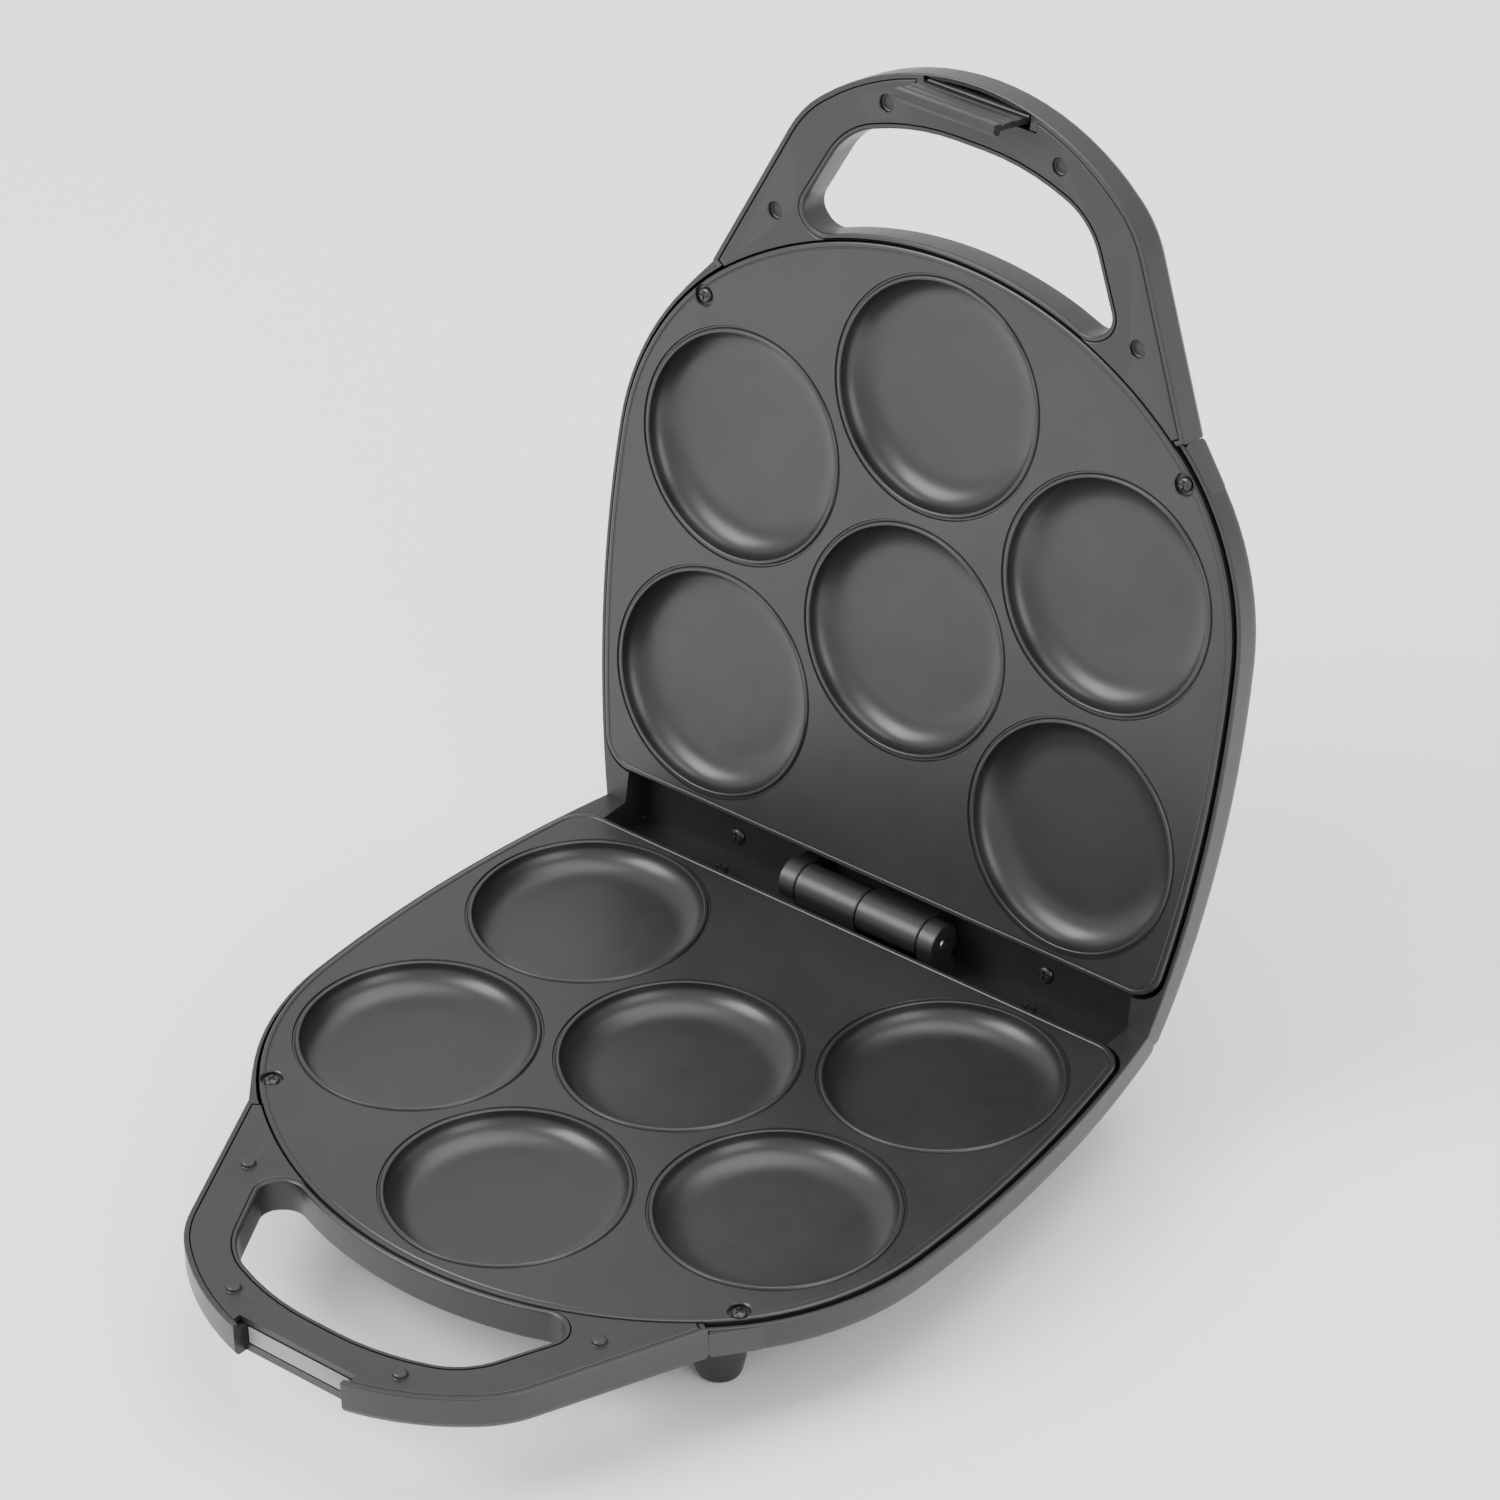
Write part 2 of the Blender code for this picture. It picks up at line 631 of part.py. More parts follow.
def base_shell(base, plastic):
    """The lower case: feet, a recess for the latch and a hole for the cord gland."""
    case = shell(base, knuckle_spans(1), plastic)
    feet = foot_centres()
    post = [(FOOT_TOP_RADIUS, FOOT_ROOT_DEPTH), (FOOT_BOTTOM_RADIUS, FOOT_END_DEPTH)]
    well = [(FOOT_PAD_RADIUS + 0.3, FOOT_END_DEPTH - 1.8), (FOOT_PAD_RADIUS + 0.3, 45.0)]
    boolean(case, "UNION", base.helper(turned(post, feet.values(), 14)))
    boolean(case, "DIFFERENCE", base.helper(turned(well, feet.values(), 12)))

    cheeks = (-CHEEK_END, CHEEK_END)
    back = RECESS_FACE - KEEPER_THICKNESS - 2.0
    boolean(case, "UNION", base.helper(box(cheeks, (back, 283.0), (COVER_SEAT_DEPTH, 11.5))))
    recess = (-RECESS_HALF_WIDTH, RECESS_HALF_WIDTH)
    keeper = (-KEEPER_HALF_WIDTH - 0.3, KEEPER_HALF_WIDTH + 0.3)
    pocket_v = (RECESS_FACE - KEEPER_THICKNESS - 0.3, 290.0)
    pocket_w = (KEEPER_DEPTHS[0] - 0.3, KEEPER_DEPTHS[1] + 0.3)
    boolean(case, "DIFFERENCE", base.helper(box(recess, (RECESS_FACE, 300.0), (-2.0, 20.0))))
    boolean(case, "DIFFERENCE", base.helper(box(keeper, pocket_v, pocket_w)))

    u, w = GLAND_PLACE
    hole = circle((u, w), GLAND_NECK_RADIUS + 0.4, 16)
    seat = circle((u, w), GLAND_RADIUS + SLIP_GAP, 16)
    boolean(case, "DIFFERENCE", base.helper(along_v(hole, -30.0, 4.0)))
    boolean(case, "DIFFERENCE", base.helper(along_v(seat, -30.0, GLAND_SEAT_V)))


def foot_centres():
    return {
        f"{end}_{side}": (sign * u, v)
        for end, (u, v) in FOOT_PLACES.items()
        for side, sign in SIDES.items()
    }


def foot_pads(base, rubber):
    end = HINGE_HEIGHT
    profile = [(FOOT_PAD_RADIUS, FOOT_END_DEPTH - 1.5), (FOOT_PAD_RADIUS, end - 0.6), (4.8, end)]
    for name, place in foot_centres().items():
        base.add(f"foot_pad_{name}", turned(profile, [place], 12), rubber)


def cord_gland(base, rubber):
    """The bush through which the cord enters the rear wall of the base."""
    inner = GLAND_SEAT_V - SLIP_GAP
    outer = inner - GLAND_FLANGE
    neck = along_v(circle(GLAND_PLACE, GLAND_NECK_RADIUS, 16), outer - 0.4, GLAND_INNER_END)
    flange = along_v(circle(GLAND_PLACE, GLAND_RADIUS, 16), outer, inner)
    bore = along_v(circle(GLAND_PLACE, GLAND_BORE_RADIUS, 12), -30.0, 8.0)
    gland = base.add("cord_gland", neck, rubber)
    boolean(gland, "UNION", base.helper(flange))
    boolean(gland, "DIFFERENCE", base.helper(bore))


def base_parts(base, finishes):
    base_shell(base, finishes["plastic"])
    half_contents(base, finishes, RECESS_FACE - COVER_GAP)
    thermostat(base, finishes["steel"])
    thermal_fuse(base, finishes["sheet"])
    foot_pads(base, finishes["rubber"])
    cord_gland(base, finishes["rubber"])
    keeper_u = (-KEEPER_HALF_WIDTH, KEEPER_HALF_WIDTH)
    keeper_v = (RECESS_FACE - KEEPER_THICKNESS, RECESS_FACE)
    base.add("latch_keeper", box(keeper_u, keeper_v, KEEPER_DEPTHS), finishes["keeper"])
    pin = circle((0.0, 0.0), HINGE_PIN_RADIUS, 12)
    base.add("hinge_pin", across(pin, [(KNUCKLE_ENDS[0], KNUCKLE_ENDS[-1])]), finishes["steel"])
    pegs = [(PEG_RADIUS, FACE_DEPTH + 0.5), (PEG_RADIUS, FACE_DEPTH - PEG_HEIGHT + 0.4)]
    pegs.append((PEG_RADIUS - 0.5, FACE_DEPTH - PEG_HEIGHT))
    peg_set = base.helper(turned(pegs, both_sides(PEG_PLACES), 14))
    boolean(bpy.data.objects["base_handle_cover"], "UNION", peg_set)


# The lid.


def lid_parts(lid, finishes):
    case = shell(lid, knuckle_spans(0), finishes["plastic"])
    half_contents(lid, finishes, SLOT_V[0] - 0.2)
    sockets = [(SOCKET_RADIUS, -1.0), (SOCKET_RADIUS, FACE_DEPTH + 1.8)]
    socket_set = lid.helper(turned(sockets, both_sides(PEG_PLACES), 14))
    boolean(bpy.data.objects["lid_handle_cover"], "DIFFERENCE", socket_set)

    for side in (-1, 1):
        span = sorted((side * SLOT_HALF_WIDTH, side * CHEEK_END))
        boolean(case, "UNION", lid.helper(box(span, (CHEEK_V, 283.2), (0.8, 11.4))))
    slot = (-SLOT_HALF_WIDTH, SLOT_HALF_WIDTH)
    boolean(case, "DIFFERENCE", lid.helper(box(slot, SLOT_V, (-2.0, SLOT_DEPTH))))
    axis = (LATCH_PIVOT_V, LATCH_PIVOT_W)
    bore = circle(axis, LATCH_BORE_RADIUS, 10)
    boolean(case, "DIFFERENCE", lid.helper(across(bore, [(-24.0, 24.0)])))
    pin = circle(axis, LATCH_PIN_RADIUS, 10)
    lid.add("latch_pin", across(pin, [(-CHEEK_END + 0.4, CHEEK_END - 0.4)]), finishes["steel"])
    lamps(lid, case, finishes)


def lamps(lid, case, finishes):
    """Two indicator lamps in the top of the lid, each a lens over a small bulb."""
    top = SHELL_LEVELS[-1][1]
    for name, place in LAMP_PLACES.items():
        hole = [(LAMP_RADIUS + 0.4, 25.0), (LAMP_RADIUS + 0.4, 35.0)]
        boolean(case, "DIFFERENCE", lid.helper(turned(hole, [place], 16)))
        lens = [(LAMP_RADIUS, top - LENS_BELOW), (LAMP_RADIUS, top + 0.2), (1.8, top + LENS_PROUD)]
        lid.add(f"{name}_lamp_lens", turned(lens, [place], 16), finishes[f"{name}_lens"])
        bulb = [
            (1.2, top - 9.0),
            (BULB_RADIUS, top - 8.0),
            (BULB_RADIUS, top - 3.2),
            (0.8, top - 2.2),
        ]
        lid.add(f"{name}_lamp_bulb", turned(bulb, [place], 10), finishes["bulb"])


def latch_clip(latch, plastic):
    """The snap clip: a barrel on the latch pin, a blade and a hook at its tip."""
    inner, outer = LATCH_BLADE_INNER, LATCH_BLADE_OUTER
    hook = inner - LATCH_HOOK
    start, end = LATCH_HOOK_START, LATCH_LENGTH
    profile = [
        (inner, 0.0),
        (outer, 0.0),
        (outer, -end),
        (inner - 0.2, -end),
        (hook, -end + 1.4),
        (hook, -start),
        (inner, -start),
    ]
    span = [(-LATCH_HALF_WIDTH, LATCH_HALF_WIDTH)]
    clip = latch.add("latch_clip", across(profile, span), plastic)
    barrel = circle((0.0, 0.0), LATCH_BARREL_RADIUS, 16)
    bore = circle((0.0, 0.0), LATCH_BORE_RADIUS, 10)
    boolean(clip, "UNION", latch.helper(across(barrel, span)))
    boolean(clip, "DIFFERENCE", latch.helper(across(bore, [(-30.0, 30.0)])))


def all_finishes():
    return {
        "plastic": finish("charcoal_plastic", (0.075, 0.076, 0.08), 0.45),
        "coating": finish("nonstick_coating", (0.06, 0.061, 0.064), 0.35),
        "steel": finish("steel", (0.55, 0.55, 0.56), 0.3, 1.0),
        "screw": finish("black_screw", (0.03, 0.03, 0.032), 0.4, 0.6),
        "sheet": finish("aluminium_sheet", (0.7, 0.7, 0.71), 0.35, 1.0),
        "rubber": finish("black_rubber", (0.02, 0.02, 0.02), 0.8),
        "keeper": finish("keeper_grey", (0.35, 0.36, 0.37), 0.4),
        "power_lens": finish("red_lens", (0.6, 0.03, 0.02), 0.15),
        "ready_lens": finish("green_lens", (0.03, 0.45, 0.08), 0.15),
        "bulb": finish("bulb_glass", (0.9, 0.75, 0.6), 0.1),
    }


def main():
    clear_scene()
    finishes = all_finishes()
    hinge = (0.0, HINGE_Y, HINGE_HEIGHT)
    base = Half("base", -1.0, 0.0, place=hinge)
    lid = Half("lid", 1.0, -OPEN_ANGLE, place=hinge)
    pivot = (0.0, -LATCH_PIVOT_V, LATCH_PIVOT_W)
    latch = Half("latch", 1.0, -LATCH_LEAN, parent=lid.empty, place=pivot)
    base_parts(base, finishes)
    lid_parts(lid, finishes)
    latch_clip(latch, finishes["plastic"])


main()
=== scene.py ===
"""Looks for the open pancake maker: finely modelled cases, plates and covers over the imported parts.

Shapes are drawn in millimetres in a half frame: u runs across, v from the hinge axis towards the
handle, and w is the depth away from the parting plane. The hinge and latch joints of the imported
record place each half frame in the room.
"""

import json
import math

import bmesh
import bpy
from mathutils import Matrix, Vector


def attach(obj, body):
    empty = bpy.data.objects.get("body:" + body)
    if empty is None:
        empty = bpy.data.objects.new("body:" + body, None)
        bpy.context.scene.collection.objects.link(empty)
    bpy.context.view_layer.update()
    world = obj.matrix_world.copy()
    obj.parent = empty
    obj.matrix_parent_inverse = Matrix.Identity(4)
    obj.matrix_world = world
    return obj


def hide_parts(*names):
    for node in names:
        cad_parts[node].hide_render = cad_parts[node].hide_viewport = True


# Driving sizes, in millimetres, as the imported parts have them.
METRE_PER_MM = 0.001
FACE = 0.5
PLATE_HALF_WIDTH = 122.4
PLATE_REAR = 11.0
REAR_CORNER = 12.0
SIDE_RADIUS = 480.0
SIDE_CENTRE_V = 108.0
SHOULDER_RADIUS = 90.0
FRONT_RADIUS = 142.8
FRONT_CENTRE_V = 84.8
PLATE_SKIRT = 6.5
PLATE_THICKNESS = 2.2
DISH_RADIUS = 40.0
DISH_DEPTH = 8.0
DISH_LIP_INSET = 1.9
DISH_WALL_REACH = 15.0
RIDGE_HEIGHT = 0.3
DISH_ROW_STEP = 42.37
DISH_COLUMN = 73.23
DISH_FIRST_ROW = 54.87
STUD_PLACE = (95.2, 185.2)
STUD_SEAT_RADIUS = 3.6
SCREW_HOLE_RADIUS = 1.7
POST_RADIUS = 3.4
POST_DEPTHS = (6.9, 11.8)
RIM_GROWTH = 2.6
RIM_TOP = 2.0
SEAM_GROWTH = 0.5
SHELL_REAR = -11.6
SHELL_REAR_CORNER = 8.0
REAR_TAPER = 0.12
SHELL_SIDE = ((2.6, 2.5), (2.6, 9.6), (1.7, 12.0), (-0.8, 13.2), (-10.0, 16.4))
SHELL_BELLY = ((-20.0, 21.4), (-27.0, 26.4), (-33.0, 29.6), (-42.0, 30.5))
HOLLOW = ((1.2, -1.0), (1.2, 9.0), (-1.2, 11.0), (-10.4, 14.2), (-20.8, 19.4), (-28.0, 24.6))
HOLLOW_FLOOR = ((-34.0, 27.6), (-43.0, 28.3))
HOLLOW_REAR = 9.6
DECK_DEPTH = 13.0
DECK_FRONT = 16.0
DECK_HALF_WIDTH = 104.0
STOP_GAP = 0.02
HANDLE_WALL = 1.8
HANDLE_FLOOR = 11.0
HANDLE_BOTTOM = 12.9
NECK_ROOT = (80.0, 190.0)
NECK = (93.6, 198.2)
NECK_TANGENT = (104.5, 184.4)
HANDLE_FRONT = 286.8
HANDLE_CORNERS = ((66.2, 259.2, 40.0), (33.0, 286.8, 92.0))
OPENING_TOP = 266.4
OPENING_CORNERS = ((61.8, 226.4, 6.0), (47.4, 256.6, 26.0), (22.0, 266.4, 90.0))
OPENING_FRONT_RADIUS = 145.4
OPENING_BOTTOM_END = 54.0
OPENING_BOTTOM_RADIUS = 8.0
OPENING_WALL = 1.6
COVER_THICKNESS = 2.2
COVER_GAP = 0.3
COVER_SEAT = 3.0
PEG_PLACES = ((33.6, 270.4), (71.2, 222.4))
KNUCKLE_RADIUS = 7.0
KNUCKLE_ENDS = (-32.0, -25.2, 0.0, 25.2, 32.0)
KNUCKLE_GAP = 0.4
HINGE_PIN_RADIUS = 2.0
HINGE_BORE_RADIUS = 2.35
HINGE_CLEARANCE = 0.6
LATCH_LEAN = 3.0
LATCH_HALF_WIDTH = 19.6
LATCH_PIVOT = (281.2, 3.2)
LATCH_BARREL_RADIUS = 2.2
LATCH_BORE_RADIUS = 1.35
LATCH_LENGTH = 20.2
SLOT_HALF_WIDTH = 20.8
SLOT_V = (278.4, 283.8)
SLOT_DEPTH = 8.0
CHEEK_END = 23.4
CHEEK_V = 278.6
RECESS_HALF_WIDTH = 21.6
RECESS_FACE = 279.0
KEEPER_HALF_WIDTH = 20.4
KEEPER_DEPTHS = (3.3, 9.6)
KEEPER_THICKNESS = 1.5
FOOT_PLACES = ((77.0, 173.5), (77.0, 15.0))
FOOT_ROOT = 22.0
FOOT_END = 40.6
PAD_RADIUS = 5.4
FIT_GAP = 0.3
HINGE_HEIGHT = 42.0
REAR_SCREW_PLACE = (64.0, -2.0)
GLAND_PLACE = (48.0, 21.5)
GLAND_SEAT_V = -7.4
GLAND_HOLE_RADIUS = 4.4
GLAND_SEAT_RADIUS = 5.7
LAMP_PLACES = {"power": (-9.0, 168.0), "ready": (9.0, 168.0)}
LAMP_RADIUS = 3.2
LAMP_CLEARANCE = 0.4
SIDES = (-1, 1)
NAMED_SIDES = (("left", -1), ("right", 1))

# Fineness of the drawn shapes.
ARC_STEP = 4.0
SHARP_ANGLE = 22.0
EDGE = 0.45
CHORD_TRIM = 0.07
FLAT_FACE = 0.99995
DISH_SEGMENTS = 112

# The stage, in metres, degrees and watts, with the lens in millimetres. A light is given as its
# name, place, size and power.
CAMERA_LENS = 157.65
CAMERA_PLACE = (1.0766, -1.2628, 1.3082)
CAMERA_TURN = (55.386, 1.044, 38.680)
LIGHT_AIM = (0.0, 0.0, 0.1)
LIGHTS = (
    ("key", (-1.1, -1.5, 1.7), (1.4, 1.4), 60.0),
    ("fill", (2.0, -0.6, 1.1), (1.2, 1.6), 20.0),
    ("top", (0.1, 0.5, 2.2), (1.8, 1.8), 34.0),
)
SKY_STRENGTH = 1.25
FLOOR_REACH = 6.0

# Base colour of the cases and the covers.
CHARCOAL = (0.0125, 0.0127, 0.0132)

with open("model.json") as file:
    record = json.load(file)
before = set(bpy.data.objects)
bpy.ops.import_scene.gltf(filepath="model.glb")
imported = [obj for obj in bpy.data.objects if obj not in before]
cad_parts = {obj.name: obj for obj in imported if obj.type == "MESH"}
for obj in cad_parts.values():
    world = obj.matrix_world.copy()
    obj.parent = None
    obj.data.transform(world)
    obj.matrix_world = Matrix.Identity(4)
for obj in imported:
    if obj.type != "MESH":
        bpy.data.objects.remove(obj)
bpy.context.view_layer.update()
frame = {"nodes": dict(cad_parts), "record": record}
JOINTS = {joint["name"]: joint for joint in frame["record"]["behaviour"]["joints"]}


# Plain geometry in the (u, v) plane.


def arc(centre, radius, start, end, steps):
    """Points along a circle from angle start to angle end, in degrees, in that many steps."""
    turns = [math.radians(start + (end - start) * i / steps) for i in range(steps + 1)]
    return [(centre[0] + radius * math.cos(t), centre[1] + radius * math.sin(t)) for t in turns]


def circle(centre, radius, segments):
    return arc(centre, radius, 0, 360, segments)[:-1]


def angle_from(origin, point):
    return math.degrees(math.atan2(point[1] - origin[1], point[0] - origin[0]))


def circle_centre(first, first_distance, second, second_distance):
    """The point at the two given distances from two centres, on the handle's side of their line."""
    gap = math.dist(first, second)
    along = (first_distance**2 - second_distance**2 + gap**2) / (2 * gap)
    aside = math.sqrt(first_distance**2 - along**2)
    du, dv = (second[0] - first[0]) / gap, (second[1] - first[1]) / gap
    return (first[0] + along * du - aside * dv, first[1] + along * dv + aside * du)


def mirrored(right_half):
    """A closed loop from its right half, listed from the rear middle to the front middle."""
    left_half = [(-u, v) for u, v in reversed(right_half) if abs(u) > 1e-6]
    return right_half + left_half


def body_outline(growth=0.0, rear=None, corner=None):
    """The plate's outline moved outwards by growth, its rear edge moving with it unless given."""
    rear = PLATE_REAR - growth if rear is None else rear
    corner = REAR_CORNER + growth if corner is None else corner
    side = (PLATE_HALF_WIDTH - SIDE_RADIUS, SIDE_CENTRE_V)
    front = (0.0, FRONT_CENTRE_V)
    shoulder = circle_centre(
        side, SIDE_RADIUS - SHOULDER_RADIUS, front, FRONT_RADIUS - SHOULDER_RADIUS
    )
    reach = SIDE_RADIUS + growth - corner
    corner_v = rear + corner
    corner_u = side[0] + math.sqrt(reach**2 - (corner_v - side[1]) ** 2)
    side_start = angle_from(side, (corner_u, corner_v))
    side_end = angle_from(side, shoulder)
    shoulder_end = angle_from(front, shoulder)
    half = [(0.0, rear)]
    half += arc((corner_u, corner_v), corner, -90, side_start, 12)
    half += arc(side, SIDE_RADIUS + growth, side_start, side_end, 14)[1:]
    half += arc(shoulder, SHOULDER_RADIUS + growth, side_end, shoulder_end, 14)[1:]
    half += arc(front, FRONT_RADIUS + growth, shoulder_end, 90, 22)[1:]
    return mirrored(half)


def rounded(corners):
    """A line through (u, v, radius) corners, each corner replaced by an arc of its radius."""
    points = []
    for i, (u, v, radius) in enumerate(corners):
        here = Vector((u, v))
        if radius == 0 or i in (0, len(corners) - 1):
            points.append((u, v))
            continue
        back = (Vector(corners[i - 1][:2]) - here).normalized()
        ahead = (Vector(corners[i + 1][:2]) - here).normalized()
        half_angle = back.angle(ahead) / 2
        centre = here + (back + ahead).normalized() * (radius / math.sin(half_angle))
        reach = radius / math.tan(half_angle)
        start = angle_from(centre, here + back * reach)
        turn = (angle_from(centre, here + ahead * reach) - start + 180) % 360 - 180
        points += arc(centre, radius, start, start + turn, max(3, round(abs(turn) / ARC_STEP)))
    return points


def offset(loop, distance):
    """A closed loop moved outwards, if it runs anticlockwise, by distance along its normals."""
    moved = []
    for i, point in enumerate(loop):
        here = Vector(point)
        before = (here - Vector(loop[i - 1])).normalized()
        after = (Vector(loop[(i + 1) % len(loop)]) - here).normalized()
        normal = Vector((before.y + after.y, -before.x - after.x)).normalized()
        stretch = max(0.5, normal.dot(Vector((after.y, -after.x))))
        moved.append(tuple(here + normal * (distance / stretch)))
    return moved


def handle_outline():
    """The outer face of the handle. Its rear edge lies inside the body."""
    corners = [(*NECK_ROOT, 0), (*NECK, 0), *HANDLE_CORNERS]
    corners.append((-HANDLE_CORNERS[1][0], HANDLE_CORNERS[1][1], 0))
    side = [(u, v) for u, v in rounded(corners) if u > 0.5]
    return mirrored([(0.0, 170.0), (60.0, 180.0)] + side + [(0.0, HANDLE_FRONT)])


def opening_outline():
    """The finger opening between the handle and the front of the body."""
    front = (0.0, FRONT_CENTRE_V)
    end = math.degrees(math.acos(OPENING_BOTTOM_END / OPENING_FRONT_RADIUS))
    bottom = arc(front, OPENING_FRONT_RADIUS, 90, end, 14)
    corners = [(*bottom[-4], 0), (*bottom[-1], OPENING_BOTTOM_RADIUS), *OPENING_CORNERS]
    return mirrored(bottom[:-4] + rounded([*corners, (0.0, OPENING_TOP, 0)]))


def smooth_line(points, steps):
    """A smooth curve through the points, as a Catmull-Rom spline with steps between neighbours."""
    curve = []
    for i in range(len(points) - 1):
        before = Vector(points[max(i - 1, 0)])
        a, b = Vector(points[i]), Vector(points[i + 1])
        after = Vector(points[min(i + 2, len(points) - 1)])
        for k in range(steps):
            t = k / steps
            push = (b - before) * t + (2 * before - 5 * a + 4 * b - after) * t**2
            push += (3 * a - before - 3 * b + after) * t**3
            curve.append(tuple(a + push / 2))
    return curve + [tuple(points[-1])]


# Solids in a half frame, as bmeshes in millimetres.


def skin(mesh, rings):
    """Joins closed rings of equal length with faces and caps both ends."""
    for low, high in zip(rings, rings[1:]):
        for i in range(len(low)):
            mesh.faces.new((low[i - 1], low[i], high[i], high[i - 1]))
    mesh.faces.new(rings[0])
    mesh.faces.new(rings[-1])
    return mesh


def loft(levels):
    """A solid through closed loops with equal point counts, given as (loop, w) pairs."""
    mesh = bmesh.new()
    return skin(mesh, [[mesh.verts.new((u, v, w)) for u, v in loop] for loop, w in levels])


def prism(loop, top, bottom):
    return loft([(loop, top), (loop, bottom)])


def box(u, v, w):
    """A box from three (low, high) spans."""
    return prism([(u[0], v[0]), (u[1], v[0]), (u[1], v[1]), (u[0], v[1])], *w)


def turned(profile, places, segments=48):
    """Solids turned about a vertical axis at each (u, v) place, from one (radius, w) profile."""
    mesh = bmesh.new()
    for place in places:
        levels = [(circle(place, radius, segments), w) for radius, w in profile]
        skin(mesh, [[mesh.verts.new((u, v, w)) for u, v in loop] for loop, w in levels])
    return mesh


def across(outline, spans, edge=0.0):
    """Bars along u with the given (v, w) outline, their ends drawn in over a length of edge."""
    mesh = bmesh.new()
    inner = offset(outline, -edge) if edge else outline
    for low, high in spans:
        ends = [(inner, low), (outline, low + edge), (outline, high - edge), (inner, high)]
        if not edge:
            ends = [ends[0], ends[-1]]
        skin(mesh, [[mesh.verts.new((u, v, w)) for v, w in loop] for loop, u in ends])
    return mesh


def along_v(levels):
    """A solid through (outline, v) levels, each outline in (u, w)."""
    mesh = bmesh.new()
    return skin(mesh, [[mesh.verts.new((u, v, w)) for u, w in loop] for loop, v in levels])


# Pieces in the room.


class Place:
    """A half frame set in the room: its joint's place, its turn and the sense in which w grows."""

    def __init__(self, body, joint, angle, w_sign):
        self.body = body
        turn = Matrix.Rotation(math.radians(angle), 4, "X")
        scale = (METRE_PER_MM, -METRE_PER_MM, METRE_PER_MM * w_sign, 1.0)
        self.matrix = Matrix.Translation(JOINTS[joint]["pos_m"]) @ turn @ Matrix.Diagonal(scale)
        self.helpers = []

    def raw(self, name, mesh):
        mesh.transform(self.matrix)
        bmesh.ops.recalc_face_normals(mesh, faces=mesh.faces)
        data = bpy.data.meshes.new(name)
        mesh.to_mesh(data)
        mesh.free()
        part = bpy.data.objects.new(name, data)
        bpy.context.scene.collection.objects.link(part)
        return part

    def shape(self, mesh):
        """A solid that only shapes others, removed once they are done."""
        part = self.raw(f"{self.body}_shape", mesh)
        self.helpers.append(part)
        return part


def cut(part, *helpers):
    combine(part, "DIFFERENCE", helpers)


def join(part, *helpers):
    combine(part, "UNION", helpers)


def combine(part, operation, helpers):
    for other in helpers:
        step = part.modifiers.new(operation.lower(), "BOOLEAN")
        step.operation = operation
        step.solver = "EXACT"
        step.object = other


def settle(part):
    """Turns the part's modifiers into its mesh."""
    bpy.context.view_layer.update()
    graph = bpy.context.evaluated_depsgraph_get()
    data = bpy.data.meshes.new_from_object(part.evaluated_get(graph))
    part.modifiers.clear()
    part.data = data


def clear_helpers(place):
    for helper in place.helpers:
        bpy.data.objects.remove(helper, do_unlink=True)
    place.helpers = []


def soften(part, width):
    """Rounds the sharp edges of a simple piece."""
    step = part.modifiers.new("edges", "BEVEL")
    step.width = width * METRE_PER_MM
    step.segments = 3
    step.limit_method = "ANGLE"
    step.angle_limit = math.radians(40)


def done(place, part, finish, slot, *nodes):
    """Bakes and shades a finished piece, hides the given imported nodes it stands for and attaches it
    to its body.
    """
    settle(part)
    clear_helpers(place)
    part.data.materials.clear()
    part.data.materials.append(finish)
    part.data.polygons.foreach_set("material_index", [0] * len(part.data.polygons))
    part.data.shade_smooth()
    part.data.set_sharp_from_angle(angle=math.radians(SHARP_ANGLE))
    across_parting = (place.matrix.to_3x3() @ Vector((0.0, 0.0, 1.0))).normalized()
    for face in part.data.polygons:
        if abs(face.normal.dot(across_parting)) > FLAT_FACE:
            face.use_smooth = False
    normals = part.modifiers.new("face_weighted_normals", "WEIGHTED_NORMAL")
    normals.keep_sharp = True
    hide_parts(*nodes)
    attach(part, place.body)
    return part


# Finishes. Each is a Principled BSDF whose colour, roughness and grain come from noise nodes.


def shader(name, roughness, metallic=0.0):
    made = bpy.data.materials.new(name)
    made.use_nodes = True
    surface = made.node_tree.nodes["Principled BSDF"]
    surface.inputs["Roughness"].default_value = roughness
    surface.inputs["Metallic"].default_value = metallic
    return made, surface


def noise(made, scale, detail, roughness=0.5):
    nodes, links = made.node_tree.nodes, made.node_tree.links
    place = nodes.new("ShaderNodeTexCoord")
    field = nodes.new("ShaderNodeTexNoise")
    field.inputs["Scale"].default_value = scale
    field.inputs["Detail"].default_value = detail
    field.inputs["Roughness"].default_value = roughness
    links.new(place.outputs["Object"], field.inputs["Vector"])
    return field.outputs["Fac"]


def remap(made, value, low, high, start=0.35, end=0.65):
    spread = made.node_tree.nodes.new("ShaderNodeMapRange")
    spread.inputs["From Min"].default_value = start
    spread.inputs["From Max"].default_value = end
    spread.inputs["To Min"].default_value = low
    spread.inputs["To Max"].default_value = high
    made.node_tree.links.new(value, spread.inputs["Value"])
    return spread.outputs["Result"]


def blend_colours(made, factor, first, second):
    mix = made.node_tree.nodes.new("ShaderNodeMix")
    mix.data_type = "RGBA"
    made.node_tree.links.new(factor, mix.inputs["Factor"])
    for socket, colour in ((mix.inputs[6], first), (mix.inputs[7], second)):
        if isinstance(colour, tuple):
            socket.default_value = (*colour, 1.0)
        else:
            made.node_tree.links.new(colour, socket)
    return mix.outputs[2]


